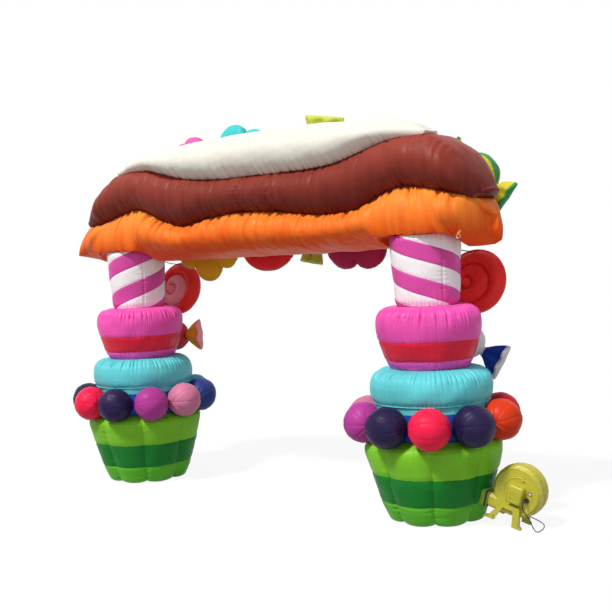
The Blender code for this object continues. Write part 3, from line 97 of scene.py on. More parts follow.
class Nodes:
    """Short ways to add shader nodes to a material or to the world."""

    def __init__(self, owner):
        owner.use_nodes = True
        self.owner, self.tree = owner, owner.node_tree
        self.shader = self.tree.nodes.get("Principled BSDF")
        if self.shader:
            self.place = self.add("ShaderNodeTexCoord").outputs["Object"]

    def put(self, value, socket):
        """A number, a colour or another node's output goes into a socket."""
        if isinstance(value, (int, float)):
            socket.default_value = value
        elif isinstance(value, (list, tuple)):
            socket.default_value = (*value, 1)
        else:
            self.tree.links.new(value, socket)

    def add(self, kind, inputs=None, **settings):
        node = self.tree.nodes.new(kind)
        for key, value in settings.items():
            setattr(node, key, value)
        for key, value in (inputs or {}).items():
            self.put(value, node.inputs[key])
        return node

    def surface(self, inputs):
        """What drives the material's own shader, or is set on its sockets."""
        for key, value in inputs.items():
            self.put(value, self.shader.inputs[key])
        return self.owner

    def noise(self, scale, detail=3.0, vector=None, rough=0.5):
        return self.add("ShaderNodeTexNoise", {"Scale": scale, "Detail": detail, "Roughness": rough,
                                               "Vector": vector or self.place}).outputs["Fac"]

    def wave(self, axis, scale):
        return self.add("ShaderNodeTexWave", {"Scale": scale, "Vector": self.place}, wave_type="BANDS",
                        bands_direction=axis).outputs["Fac"]

    def math(self, how, a, b=0.0, clamp=False):
        return self.add("ShaderNodeMath", {0: a, 1: b}, operation=how, use_clamp=clamp).outputs[0]

    def span(self, value, low, high, to_low=0.0, to_high=1.0):
        return self.add("ShaderNodeMapRange",
                        {"Value": value, 1: low, 2: high, 3: to_low, 4: to_high}).outputs["Result"]

    def mix(self, share, a, b):
        return self.add("ShaderNodeMix", {"Factor": share, 6: a, 7: b}, data_type="RGBA").outputs[2]

    def bump(self, height, strength, distance, normal=None):
        inputs = {"Height": height, "Strength": strength, "Distance": distance}
        if normal:
            inputs["Normal"] = normal
        return self.add("ShaderNodeBump", inputs).outputs["Normal"]

    def seen(self):
        """1 for rays from the camera, also by way of glossy or clear things."""
        rays = self.add("ShaderNodeLightPath").outputs
        seen = self.math("MAXIMUM", rays["Is Camera Ray"], rays["Is Glossy Ray"])
        return self.math("MAXIMUM", seen, rays["Is Transmission Ray"])

    def blend(self, share, first, second, output):
        """Two shaders mixed and led to the tree's output."""
        both = self.add("ShaderNodeMixShader", {0: share, 1: first.outputs[0], 2: second.outputs[0]})
        self.put(both.outputs[0], self.tree.nodes[output].inputs["Surface"])


def fabric(name, rgb, rough=0.46, coat=0.03, sheen=0.0, vary=0.14, pattern=None, dust_rgb=None):
    """Coated nylon: woven with a ripstop grid, satin, slightly uneven in colour and crinkled."""
    n = Nodes(bpy.data.materials.new(name))
    base = linear(rgb)
    drift = n.span(n.noise(3.1), 0.3, 0.7)
    colour = n.mix(drift, shade(base, 1 - vary), shade(base, 1 + 0.5 * vary))
    if pattern:
        colour = pattern(n, colour, drift)
    dust = n.span(n.noise(47, 5, rough=0.65), 0.45, 0.8, 0.0, 0.22)
    colour = n.mix(dust, colour, linear(dust_rgb) if dust_rgb else shade(base, 0.72))
    threads = n.math("MULTIPLY", n.wave("X", THREADS), n.wave("Z", THREADS))
    threads = n.math("ADD", threads, n.math("MULTIPLY", n.wave("Y", THREADS), 0.6))
    ribs = n.math("ADD", *(n.math("POWER", n.wave(axis, RIPSTOP), 14) for axis in "XZ"))
    normal = n.bump(threads, 0.10, 0.0003)
    normal = n.bump(ribs, 0.12, 0.0004, normal)
    normal = n.bump(n.noise(14, 4), 0.12, 0.008, normal)
    normal = n.bump(n.noise(85, 4, rough=0.6), 0.12, 0.0018, normal)
    return n.surface({"Base Color": colour, "Normal": normal,
                      "Roughness": n.span(n.noise(9, 4), 0.3, 0.75, rough - 0.07, rough + 0.10),
                      "Coat Weight": coat, "Coat Roughness": 0.32, "Sheen Weight": sheen,
                      "Sheen Roughness": 0.5, "IOR": 1.42, "Specular IOR Level": 0.18})


def plastic(name, rgb, rough, wear=0.25, worn_rgb=None):
    """Moulded plastic with a fine grain, scuffs and a little dust."""
    n = Nodes(bpy.data.materials.new(name))
    base = linear(rgb)
    colour = n.mix(n.span(n.noise(6, 4), 0.3, 0.7), shade(base, 0.86), shade(base, 1.08))
    scuff = n.span(n.noise(38, 6, rough=0.7), 0.60, 0.72, 0.0, wear)
    grain = n.bump(n.noise(900, 2), 0.10, 0.0003)
    return n.surface({"Base Color": n.mix(scuff, colour, linear(worn_rgb) if worn_rgb else shade(base, 0.6)),
                      "Roughness": n.span(n.noise(22, 4), 0.3, 0.75, rough - 0.06, rough + 0.14),
                      "Normal": n.bump(n.noise(30), 0.10, 0.0015, grain),
                      "Coat Weight": 0.12, "Coat Roughness": 0.25, "IOR": 1.5})


def metal(name, rgb, rough):
    """Zinc-plated steel: blotched, brushed and a little rusty."""
    n = Nodes(bpy.data.materials.new(name))
    base = linear(rgb)
    colour = n.mix(n.span(n.noise(60, 5), 0.35, 0.7), shade(base, 0.75), base)
    rust = n.span(n.noise(130, 6, rough=0.7), 0.62, 0.70, 0.0, 0.5)
    return n.surface({"Base Color": n.mix(rust, colour, linear((112, 62, 35))),
                      "Roughness": n.span(n.noise(180), 0.3, 0.7, rough - 0.08, rough + 0.12),
                      "Normal": n.bump(n.noise(400), 0.15, 0.0002), "Metallic": 1.0})


def rope_cover(name, rgb, scale):
    """Braided rope or rubber with fine slanting ribs."""
    n = Nodes(bpy.data.materials.new(name))
    base = linear(rgb)
    colour = n.mix(n.span(n.noise(55, 4), 0.3, 0.7), shade(base, 0.7), shade(base, 1.3))
    return n.surface({"Base Color": colour, "Roughness": n.span(n.noise(30), 0.3, 0.7, 0.45, 0.65),
                      "Normal": n.bump(n.wave("DIAGONAL", scale), 0.35, 0.0004), "Specular IOR Level": 0.4})


# Two magenta bands wind up each column: height of one band and its gap, the band's share of it, where
# it starts, and how sharp its edges are
STRIPE_RISE, STRIPE_STARTS, STRIPE_SHARE = {"right": 0.250, "left": 0.280}, 2, 0.52
STRIPE_START, STRIPE_EDGE = {"right": 0.785, "left": 0.792}, 160
CANE_PINK, CANE_DUST = (218, 76, 164), (176, 132, 158)


def cane_stripes(side):
    """White and magenta helix round a column, by the angle about its axis and the height."""
    def pattern(n, white, drift):
        x, y, z = n.add("ShaderNodeSeparateXYZ", {0: n.place}).outputs
        turn = n.math("ARCTAN2", n.math("SUBTRACT", y, COLUMN_Y), n.math("SUBTRACT", x, COLUMNS[side]))
        phase = n.math("ADD", n.math("DIVIDE", z, STRIPE_RISE[side]),
                       n.math("MULTIPLY", turn, HAND[side] * STRIPE_STARTS / TAU))
        phase = n.math("FRACT", n.math("ADD", phase, STRIPE_START[side]))
        rise = n.math("MULTIPLY", n.math("SUBTRACT", phase, 0.01), STRIPE_EDGE, True)
        fall = n.math("MULTIPLY", n.math("SUBTRACT", STRIPE_SHARE, phase), STRIPE_EDGE, True)
        magenta = n.mix(drift, shade(linear(CANE_PINK), 0.86), shade(linear(CANE_PINK), 1.08))
        return n.mix(n.math("MULTIPLY", rise, fall), white, magenta)
    return pattern


def painted_light_and_shade(shaded_rgb, lit_rgb, low_z, high_z):
    """Painted shade: deep colour at the foot of a layer; painted light: paler higher up, where the sun falls,
    with a feathered edge.
    """
    def pattern(n, colour, drift):
        height = n.add("ShaderNodeSeparateXYZ", {0: n.place}).outputs[2]
        stretch = n.add("ShaderNodeMapping", {"Vector": n.place})
        stretch.inputs["Scale"].default_value = (15, 15, 1.6)
        feather = n.math("MULTIPLY", n.math("SUBTRACT", n.noise(1, 3, stretch.outputs[0]), 0.5), 0.30)
        lit_colour = n.mix(drift, shade(linear(lit_rgb), 0.92), shade(linear(lit_rgb), 1.05))
        return n.mix(n.span(n.math("ADD", height, feather), low_z, high_z), linear(shaded_rgb), lit_colour)
    return pattern


CLOTH = {
    # green is the lime cloth darkened: painted shade on the base's lowest band
    "lime": (126, 198, 44), "green": (92, 182, 44), "dark_green": (20, 120, 40), "blue": (46, 80, 176),
    "teal": (96, 202, 210), "pink": (240, 84, 178), "band_red": (224, 30, 60), "cane_left": (250, 244, 247),
    "cane_right": (250, 244, 247), "cream": (236, 232, 220), "brown": (128, 44, 32),
    "orange": (252, 116, 24), "red": (242, 36, 40), "lolly": (255, 54, 52), "gold": (240, 170, 40),
    "sky": (24, 70, 176), "white": (236, 238, 240), "yellow": (226, 168, 24), "magenta": (186, 32, 84),
    "petal_pink": (240, 104, 182), "cyan": (72, 204, 208), "yellow_green": (206, 214, 84),
    "dark_red": (128, 20, 32), "leaf": (62, 148, 82), "sun": (214, 200, 52), "rose_red": (204, 58, 62),
    "pale_pink": (250, 160, 168), "ball_navy": (36, 24, 68), "ball_hot_pink": (252, 32, 78),
    "ball_vermilion": (220, 58, 22), "ball_red": (214, 22, 44), "ball_rose": (206, 122, 156),
    "ball_cyan": (72, 186, 204), "ball_gold": (222, 158, 40), "ball_violet": (178, 60, 150),
    "ball_sky_blue": (44, 60, 128), "sleeve": (150, 178, 56),
}
CLOTH_OPTIONS = {
    "teal": {"coat": 0.16}, "pink": {"coat": 0.14}, "band_red": {"coat": 0.14}, "ball_navy": {"coat": 0.06},
    "cane_left": {"vary": 0.05, "pattern": cane_stripes("left"), "dust_rgb": CANE_DUST},
    "cane_right": {"vary": 0.05, "pattern": cane_stripes("right"), "dust_rgb": CANE_DUST},
    "cream": {"vary": 0.05, "rough": 0.5, "coat": 0.05}, "white": {"vary": 0.05}, "sleeve": {"rough": 0.5},
    # brown and orange: painted shade at the foot of each layer, painted light above it
    "brown": {"rough": 0.44, "coat": 0.0, "pattern": painted_light_and_shade((98, 28, 20), (150, 62, 50), 2.34, 2.74)},
    "orange": {"rough": 0.44, "coat": 0.0, "pattern": painted_light_and_shade((238, 82, 12), (255, 146, 54), 2.06, 2.38)},
}
MATERIALS = {key: fabric(f"{key}_nylon", rgb, **CLOTH_OPTIONS.get(key, {})) for key, rgb in CLOTH.items()}
MATERIALS |= {
    "blower": plastic("blower_shell", (186, 178, 42), 0.38, worn_rgb=(120, 116, 40)),
    "black": plastic("black_shell", (30, 30, 32), 0.45),
    "pale": plastic("pale_rocker", (216, 216, 206), 0.35, wear=0.1),
    "grey": plastic("fan_plastic", (96, 98, 102), 0.45),
    "steel": metal("plated_steel", (178, 180, 184), 0.34), "motor": metal("motor_can", (142, 146, 150), 0.42),
    "rubber": rope_cover("cord_rubber_cover", (26, 26, 28), 180),
    "rope": rope_cover("braided_rope", (34, 34, 38), 420),
    "webbing": fabric("webbing_weave", (222, 120, 52), rough=0.7, coat=0.0, sheen=0.3),
}


# Mesh helpers

def around(count):
    """Even angles of a full turn."""
    return np.arange(count) * TAU / count


def polar_grid(r, turn, height, x=0.0, y=0.0):
    """Points at a radius and height for each angle about an upright axis."""
    return np.stack(np.broadcast_arrays(x + r * np.cos(turn), y + r * np.sin(turn), height), -1)


def skin(name, grid, paints, wrap_rows=False, caps=True, face_paint=0):
    """A piece from rings of points; open ends are closed by fans to their middles."""
    rows, columns = grid.shape[:2]
    face_rows = rows if wrap_rows else rows - 1
    i, j = np.meshgrid(np.arange(face_rows), np.arange(columns), indexing="ij")
    k, m = (i + 1) % rows, (j + 1) % columns
    corners = [i * columns + j, i * columns + m, k * columns + m, k * columns + j]
    faces = np.stack(corners, -1).reshape(-1, 4).tolist()
    points = grid.reshape(-1, 3).tolist()
    indices = np.broadcast_to(face_paint, (face_rows, columns)).ravel().tolist()
    if caps and not wrap_rows:
        for row, paint in ((0, indices[0]), (rows - 1, indices[-1])):
            points.append(grid[row].mean(axis=0).tolist())
            start, hub = row * columns, len(points) - 1
            faces += [[start + step, start + (step + 1) % columns, hub] for step in range(columns)]
            indices += [paint] * columns
    mesh = bpy.data.meshes.new(name)
    mesh.from_pydata(points, [], faces)
    for paint in paints:
        mesh.materials.append(MATERIALS[paint])
    mesh.polygons.foreach_set("material_index", np.asarray(indices, np.int32))
    mesh.polygons.foreach_set("use_smooth", np.ones(len(faces), bool))
    work = bmesh.new()
    work.from_mesh(mesh)
    bmesh.ops.recalc_face_normals(work, faces=work.faces)
    work.to_mesh(mesh)
    work.free()
    return in_scene(name, mesh)


def pushed(grid, push):
    """The grid moved along its normals, which point away from its own middle."""
    normal = np.cross(np.gradient(grid, axis=0), np.roll(grid, -1, 1) - np.roll(grid, 1, 1))
    normal /= np.maximum(np.linalg.norm(normal, axis=-1, keepdims=True), 1e-12)
    if ((grid - grid.mean(axis=(0, 1))) * normal).sum() < 0:
        normal = -normal
    return grid + normal * push[..., None]


def ripple(grid, seed, wavelength, count=7):
    """Smooth seeded noise at the grid's points, about -1 to 1."""
    draw = np.random.default_rng(seed)
    total = np.zeros(grid.shape[:-1])
    for _ in range(count):
        way = draw.normal(size=3)
        way *= TAU / (wavelength * draw.uniform(0.6, 1.6)) / np.linalg.norm(way)
        total += np.sin(grid @ way + draw.uniform(0, TAU))
    return total / math.sqrt(count)


def pleats(along, away, seed, pitch, reach, depth, wrap=0.0):
    """Short creases that run out from a seam: one in each cell along it, each of its own size."""
    cells = int(round(wrap / pitch)) if wrap else 4096
    place = along / (wrap / cells if wrap else pitch)
    cell = np.floor(place).astype(int)
    draw = np.random.default_rng(seed)
    strength, middle = draw.uniform(0.15, 1, cells), draw.uniform(0.3, 0.7, cells)
    width, length = draw.uniform(0.10, 0.22, cells), draw.uniform(0.4, 1.7, cells)
    key = np.mod(cell, cells)
    crease = np.exp(-((place - cell - middle[key]) / width[key]) ** 2)
    return -depth * strength[key] * crease * np.exp(-(np.abs(away) / (reach * length[key])) ** 1.3)


def gathers(turn, radius, away, seed, pitch, reach, depth):
    """Pleats out from a seam that runs round a circle."""
    return pleats(turn * radius, away, seed, pitch, reach, depth, TAU * radius)


def groove(away, width, depth):
    """The dip of the cloth at a line of stitches."""
    return -depth * np.exp(-(away / width) ** 2)


def to_whole(turns):
    """Distance to the nearest whole number."""
    phase = np.mod(turns, 1.0)
    return np.minimum(phase, 1 - phase)


def curve_through(table, samples):
    """Catmull-Rom curve through the rows of a table, with even parts per row."""
    table = np.asarray(table, float)
    ends = np.vstack([2 * table[0] - table[1], table, 2 * table[-1] - table[-2]])
    t = np.linspace(0, len(table) - 1, samples)
    k = np.minimum(t.astype(int), len(table) - 2)
    f = (t - k)[:, None]
    a, b, c, d = ends[k], ends[k + 1], ends[k + 2], ends[k + 3]
    square, cube = 2 * a - 5 * b + 4 * c - d, 3 * b - a - 3 * c + d
    return 0.5 * (2 * b + (c - a) * f + square * f ** 2 + cube * f ** 3)


def even_curve(values, t):
    """Monotone cubic through equally spaced values, so it never overshoots them."""
    values = np.asarray(values, float)
    step = np.diff(values)
    slope = np.zeros_like(values)
    a, b = step[:-1], step[1:]
    same = a * b > 0
    slope[1:-1] = np.where(same, 2 * a * b / np.where(same, a + b, 1), 0)
    slope[0], slope[-1] = step[0], step[-1]
    k = np.clip(t.astype(int), 0, len(values) - 2)
    f = t - k
    h = (2 * f ** 3 - 3 * f ** 2 + 1, f ** 3 - 2 * f ** 2 + f, 3 * f ** 2 - 2 * f ** 3, f ** 3 - f ** 2)
    return h[0] * values[k] + h[1] * slope[k] + h[2] * values[k + 1] + h[3] * slope[k + 1]


def tube(name, path, radius, paint, sides=14, closed=False):
    """A round tube along a path; the radius may change along it."""
    path = np.asarray(path, float)
    radius = np.broadcast_to(np.asarray(radius, float), (len(path),))
    along = np.roll(path, -1, 0) - np.roll(path, 1, 0) if closed else np.gradient(path, axis=0)
    along /= np.linalg.norm(along, axis=1, keepdims=True)
    across = np.cross(along[0], [0.31, 0.17, 0.94])
    cos, sin = np.cos(around(sides))[:, None], np.sin(around(sides))[:, None]
    rings = []
    for place, way, size in zip(path, along, radius):
        across = across - way * (across @ way)
        across = across / np.linalg.norm(across)
        rings.append(place + size * (cos * across + sin * np.cross(way, across)))
    return skin(name, np.array(rings), [paint], wrap_rows=closed)


def rope_line(name, points, radius, paint, capped):
    """A cord drawn as a curve, and its length."""
    data = bpy.data.curves.new(name, "CURVE")
    data.dimensions = "3D"
    data.bevel_depth = radius
    data.bevel_resolution = 3
    data.use_fill_caps = capped
    line = data.splines.new("POLY")
    line.points.add(len(points) - 1)
    line.points.foreach_set("co", np.column_stack([points, np.ones(len(points))]).ravel())
    data.materials.append(MATERIALS[paint])
    return in_scene(name, data), float(np.linalg.norm(np.diff(points, axis=0), axis=1).sum())


def settle(obj, slot, *nodes, fill=None):
    """The piece rides on the arch and stands for CAD nodes; slot and fill are not used."""
    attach(obj, "arch")
    if nodes:
        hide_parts(*nodes)


def dress(node, paint, bevel):
    """A CAD node keeps its shape and gets a procedural material and softened edges."""
    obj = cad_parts[node]
    for place in obj.material_slots:
        place.link = "OBJECT"
        place.material = MATERIALS[paint]
    if bevel:
        step = obj.modifiers.new("edges", "BEVEL")
        step.width = bevel
        step.segments = 2
        step.limit_method = "ANGLE"
        step.angle_limit = math.radians(35)


# Power cord: the route's points as in the CAD source, from the middle of the span
CORD_RADIUS = 0.0035
CORD_ROUTE = [
    (2.30681, -0.1006, 0.21139), (2.30681, -0.1181, 0.21139), (2.3072, -0.1393, 0.2026),
    (2.3080, -0.1481, 0.1830), (2.3150, -0.1500, 0.1620), (2.3300, -0.1465, 0.1400),
    (2.3470, -0.1400, 0.1120), (2.3600, -0.1320, 0.0780), (2.3690, -0.1200, 0.0430),
    (2.3770, -0.1000, 0.0150), (2.3830, -0.0700, 0.0042), (2.3840, -0.0200, 0.0038),
    (2.3700, 0.0500, 0.0038), (2.3350, 0.1200, 0.0038), (2.2700, 0.1850, 0.0038), (2.1800, 0.2500, 0.0038),
    (2.0500, 0.3350, 0.0038), (1.9200, 0.4250, 0.0038), (1.8000, 0.5100, 0.0038), (1.6800, 0.5850, 0.0038),
    (1.5500, 0.6400, 0.0038), (1.4500, 0.6620, 0.0038), (1.3673, 0.6645, 0.0038),
]
COIL_X, COIL_Y, COIL_RADIUS, COIL_PITCH, COIL_RISE = 1.360, 0.620, 0.0445, 0.0080, 0.0080
COIL_TURNS, COIL_POINTS = 1.75, 24
RELIEF_POINTS = 25


def coil_points():
    """Two layers of loops: inward below, outward above."""
    points = []
    for step in range(round(2 * COIL_TURNS * COIL_POINTS) + 1):
        turn = step / COIL_POINTS
        radius = COIL_RADIUS - COIL_PITCH * min(turn, 2 * COIL_TURNS - turn)
        climb = min(max((turn - COIL_TURNS) / 0.5 + 0.5, 0), 1)
        angle = math.pi / 2 + TAU * turn
        points.append((COIL_X + radius * math.cos(angle), COIL_Y + radius * math.sin(angle),
                       CORD_ROUTE[-1][2] + COIL_RISE * climb * climb * (3 - 2 * climb)))
    return points


def mains_lead():
    route = curve_through(CORD_ROUTE, 12 * (len(CORD_ROUTE) - 1) + 1)
    coil = np.array(coil_points())
    out = coil[-1] - coil[-2]
    out[2] = 0
    end = coil[-1] + out / np.linalg.norm(out) * 2 * CORD_RADIUS
    points = np.vstack([route[:-1], coil, end]) + MIDDLE
    lead, length = rope_line("mains_lead", points, CORD_RADIUS, "rubber", True)
    settle(lead, "cord_rubber", "power_cord", "cord_coil")
    share, groove_rows = np.linspace(0, 1, RELIEF_POINTS), np.arange(RELIEF_POINTS) % 3 == 2
    settle(tube("strain_relief", points[:RELIEF_POINTS], 0.0054 - 0.0014 * share - 0.0004 * groove_rows,
                "black", 16), "black_plastic")


mains_lead()


# Columns. A base's profile has shares of its radius and height, and how deep the lobes are there; a
# tier's has shares of its radius and height
LOBES, LOBE_DEPTH = 8, 0.085
LOBE_TURN = {"right": math.radians(-84.5), "left": math.radians(-69.5)}
BASE_RADIUS, BASE_HEIGHT, BASE_BANDS = 0.516, 0.622, (0.152, 0.361)
BASE_PROFILE = [
    (0.45, 0.004, 0.9), (0.60, 0.0, 1), (0.649, 0.004, 1), (0.700, 0.036, 1), (0.755, 0.140, 1),
    (0.808, 0.250, 1), (0.880, 0.450, 0.95), (0.950, 0.680, 0.85), (1.0, 0.860, 0.70), (0.965, 0.935, 0.40),
    (0.870, 0.975, 0.15), (0.775, 1.0, 0),
]
COLLAR_PROFILE = [
    (0.60, 0), (0.952, 0), (0.985, 0.03), (1, 0.12), (1.0, 0.5), (1, 0.9), (1, 0.97), (0.985, 1), (0.60, 1),
]
TEAL_PROFILE = [
    (0.55, 0), (0.925, 0), (0.95, 0.03), (0.985, 0.16), (1.0, 0.35), (0.995, 0.55), (0.955, 0.78),
    (0.86, 0.93), (0.72, 0.99), (0.40, 1),
]
PINK_PROFILE = [
    (0.45, 0), (0.70, 0), (0.76, 0.02), (0.835, 0.134), (0.90, 0.29), (0.957, 0.452), (0.995, 0.62),
    (1.0, 0.76), (0.965, 0.88), (0.86, 0.965), (0.66, 1), (0.35, 1),
]
CANE_LOW, CANE_HIGH, CANE_FOOT_RADIUS, CANE_TOP_RADIUS, CANE_MEAN_RADIUS = 1.5703, 2.0847, 0.237, 0.266, 0.25
CANE_SEAM = {"left": -0.536, "right": -0.55}
BALL_PAINTS = {
    "right": ("navy", "hot_pink", "navy", "vermilion", "red", "rose", "cyan", "gold", "rose", "violet"),
    "left": ("navy", "violet", "rose", "sky_blue", "cyan", "gold", "red", "vermilion", "navy", "hot_pink"),
}
BALL_TURN = {"right": math.radians(27.9), "left": math.radians(53.3)}
BALL_RADIUS, BALL_RING, BALL_Z, BALL_GORES = 0.1499, 0.5201, 0.7368, 8
# Rows and columns of the grids
BASE_GRID, TIER_GRID, CANE_GRID, BALL_GRID = (96, 320), (70, 480), (80, 240), (56, 96)


def between_lobes(turn):
    """From 0 on the back of a lobe to 1 at the seam beside it."""
    return 1 - np.sqrt(np.abs(np.cos(LOBES / 2 * turn)))


def ring_grid(word, profile, count, first_lobe=0.0):
    """Rings about a column from rows of radius, height and perhaps the lobes' share."""
    turn = around(count)
    radius, height = profile[:, :1], profile[:, 1:2]
    if profile.shape[1] > 2:
        radius = radius * (1 - LOBE_DEPTH * profile[:, 2:] * between_lobes(turn - first_lobe))
    return polar_grid(radius, turn, height, COLUMNS[word], COLUMN_Y), turn, height


def with_levels(profile, levels):
    """The profile with rows added at exact heights, where a band's seams run."""
    for level in levels:
        place = int(np.argmax(profile[:, 1] >= level))
        a, b = profile[place - 1], profile[place]
        share = (level - a[1]) / (b[1] - a[1])
        if 0.02 < share < 0.98:
            profile = np.insert(profile, place, a + (b - a) * share, axis=0)
    return profile


def base(word):
    """Lobed foot in lime and dark green, the lowest band a darker lime as painted shade, its edge lifted a
    little between the lobes.
    """
    seed = {"left": 11, "right": 12}[word]
    rows = curve_through(BASE_PROFILE, BASE_GRID[0])
    rows[:, 0] *= BASE_RADIUS
    rows[:, 1] = np.clip(rows[:, 1], 0, 1) * BASE_HEIGHT
    rows = with_levels(rows, BASE_BANDS)
    grid, turn, z = ring_grid(word, rows, BASE_GRID[1], LOBE_TURN[word])
    half, lobe_turn = math.pi / LOBES, turn - LOBE_TURN[word]
    across_lobe = np.mod(lobe_turn + half, 2 * half) - half
    from_seam = (half - np.abs(across_lobe)) * rows[:, :1]
    push = 0.0035 * ripple(grid, seed, 0.22)
    for index, level in enumerate(BASE_BANDS):
        push += gathers(turn, BASE_RADIUS, z - level, seed + 20 + index, 0.034, 0.030, 0.007)
        push += groove(z - level, 0.010, 0.005)
    lobe = np.floor((lobe_turn + half) / (2 * half))
    push += pleats(z + lobe * 1.7, from_seam, seed + 30, 0.050, 0.050, 0.010)
    push += gathers(turn, BASE_RADIUS, z - 0.56, seed + 40, 0.036, 0.050, 0.007)
    grid = pushed(grid, push * np.clip(z / 0.03, 0, 1))
    grid[..., 2] += 0.018 * between_lobes(lobe_turn) * np.exp(-(z / 0.075) ** 2)
    grid[..., 2] = np.maximum(grid[..., 2], 0)
    level = 0.5 * (z[1:] + z[:-1])
    # lowest band in green, a darker lime: painted shade
    paint = np.where(level < BASE_BANDS[0], 2, np.where(level < BASE_BANDS[1], 1, 0))
    settle(skin(f"cupcake_{word}", grid, ["lime", "dark_green", "green"], face_paint=paint),
           "lime_green_fabric", f"base_{word}", fill=1)


def round_tier(name, word, table, radius, low, high, paints, slot, node, seed, seams, gather=None, bands=(),
               upper=None):
    """A turned chamber with panel seams, puckers at its gathered edge and bands of other cloth."""
    table = np.array(table, float)
    table = np.column_stack([table[:, 0] * radius, low + table[:, 1] * (high - low)])
    profile = curve_through(table, TIER_GRID[0])
    profile[:, 1] = np.clip(profile[:, 1], low, high)
    profile = with_levels(profile, [upper] if upper else bands)
    grid, turn, z = ring_grid(word, profile, TIER_GRID[1])
    gap = to_whole(turn * seams / TAU + 0.37 * (seed % 5)) * TAU / seams * radius
    inside = np.clip((z - low) / 0.04, 0, 1) * np.clip((high - z) / 0.02, 0, 1)
    push = 0.0030 * ripple(grid, seed, 0.20)
    push += groove(gap, 0.006, 0.0022) * inside
    push += pleats(z + np.floor(turn * seams / TAU) * 1.3, gap, seed + 1, 0.038, 0.022, 0.003) * inside
    for index, level in enumerate(bands):
        push += groove(z - level, 0.008, 0.005)
        push += gathers(turn, radius, z - level, seed + 2 + index, 0.032, 0.024, 0.006)
    if gather:
        push += gathers(turn, radius, z - gather, seed + 7, 0.040, 0.036, 0.026)
        push += gathers(turn, radius, z - gather, seed + 8, 0.070, 0.055, 0.012)
    push += gathers(turn, radius, z - low, seed + 9, 0.034, 0.035, 0.009)
    edge = np.clip((z - low) / 0.012, 0, 1) * np.clip((high - z) / 0.006, 0, 1)
    level = 0.5 * (z[1:] + z[:-1])
    low_paint, high_paint = bands or (upper or high, math.inf)
    paint = (level > low_paint) & (level < high_paint)
    settle(skin(name, pushed(grid, push * edge), paints, face_paint=paint), slot, node, fill=1)


def cane(word):
    """Column with creases along its stripes and a seam up one side."""
    seed = {"left": 61, "right": 62}[word]
    share = np.linspace(0, 1, CANE_GRID[0])
    radius = CANE_FOOT_RADIUS + (CANE_TOP_RADIUS - CANE_FOOT_RADIUS) * share
    radius += groove(share, 0.05, 0.012) + groove(1 - share, 0.04, 0.012)
    profile = np.column_stack([radius, CANE_LOW + (CANE_HIGH - CANE_LOW) * share])
    grid, turn, z = ring_grid(word, profile, CANE_GRID[1])
    phase = np.mod(z / STRIPE_RISE[word] + HAND[word] * STRIPE_STARTS * turn / TAU + STRIPE_START[word], 1.0)
    to_stripe = np.minimum(np.minimum(phase, np.abs(phase - STRIPE_SHARE)), 1 - phase) * STRIPE_RISE[word]
    push = 0.0025 * ripple(grid, seed, 0.18) + groove(to_stripe, 0.008, 0.004)
    push += gathers(turn, CANE_MEAN_RADIUS, to_stripe, seed + 1, 0.030, 0.018, 0.004)
    for level, reach in ((CANE_LOW, 0.05), (CANE_HIGH, 0.04)):
        push += gathers(turn, CANE_MEAN_RADIUS, z - level, seed + 2, 0.032, reach, 0.010)
    to_side = (np.mod(turn - CANE_SEAM[word] + math.pi, TAU) - math.pi) * CANE_MEAN_RADIUS
    push += groove(to_side, 0.007, 0.006)
    push += pleats(z, to_side, seed + 3, 0.030, 0.030, 0.007)
    grid = pushed(grid, push)
    grid[..., 2] = np.clip(grid[..., 2], CANE_LOW, CANE_HIGH)
    settle(skin(f"cane_{word}", grid, [f"cane_{word}"]), "cane_fabric", f"candy_column_{word}", fill=1)


def balls(word):
    """Ten balls of eight gores each, pressed flat where they are sewn to the collar."""
    up = np.array([0, 0, 1.0])
    polar = np.linspace(0.03, math.pi - 0.03, BALL_GRID[0])[:, None]
    turn = around(BALL_GRID[1])
    from_pole = np.minimum(polar, math.pi - polar) * BALL_RADIUS
    for index, paint in enumerate(BALL_PAINTS[word]):
        seed = 100 + index + (20 if word == "left" else 0)
        angle = BALL_TURN[word] + TAU * (index - 1) / 10
        out = np.array([math.sin(angle), -math.cos(angle), 0])
        tangent = np.array([math.cos(angle), math.sin(angle), 0])
        centre = np.array([COLUMNS[word], COLUMN_Y, BALL_Z]) + BALL_RING * out
        gores = (turn + 0.35 * math.sin(seed * 1.7)) * BALL_GORES / TAU
        gap = to_whole(gores) * TAU / BALL_GORES * np.sin(polar) * BALL_RADIUS
        way = (np.cos(polar)[..., None] * tangent
               + np.sin(polar)[..., None] * (np.cos(turn)[:, None] * out + np.sin(turn)[:, None] * up))
        size = BALL_RADIUS - 0.0005 + groove(gap, 0.0060, 0.0032)
        size += pleats(polar * BALL_RADIUS + np.floor(gores) * 0.9, gap, seed, 0.026, 0.016, 0.004)
        size += gathers(turn, 0.05, from_pole, seed + 1, 0.016, 0.030, 0.0035)
        size += groove(from_pole, 0.012, 0.005)
        place = centre + way * size[..., None]
        place = place + way * (0.0018 * ripple(place, seed + 2, 0.12))[..., None]
        depth = (place - centre) @ out
        place = place - np.minimum(depth + 0.7 * BALL_RADIUS, 0)[..., None] * out
        settle(skin(f"ball_{word}_{index + 1:02d}", place, ["ball_" + paint]), paint + "_fabric",
               f"berry_{word}_{index + 1:02d}", fill=1)


for word, seed in (("left", 200), ("right", 300)):
    base(word)
    round_tier(f"blue_collar_{word}", word, COLLAR_PROFILE, 0.42, 0.6223, 0.870, ["blue", "teal"],
               "blue_fabric", f"collar_{word}", seed, seams=10, upper=0.818)
    round_tier(f"teal_cake_{word}", word, TEAL_PROFILE, 0.451, 0.8703, 1.1172, ["teal"], "teal_fabric",
               f"teal_tier_{word}", seed + 20, seams=14, gather=1.085)
    round_tier(f"pink_cake_{word}", word, PINK_PROFILE, 0.3895, 1.1175, 1.570, ["pink", "band_red"],
               "pink_fabric", f"pink_tier_{word}", seed + 40, seams=12, gather=1.505, bands=(1.178, 1.322))
    cane(word)
    balls(word)


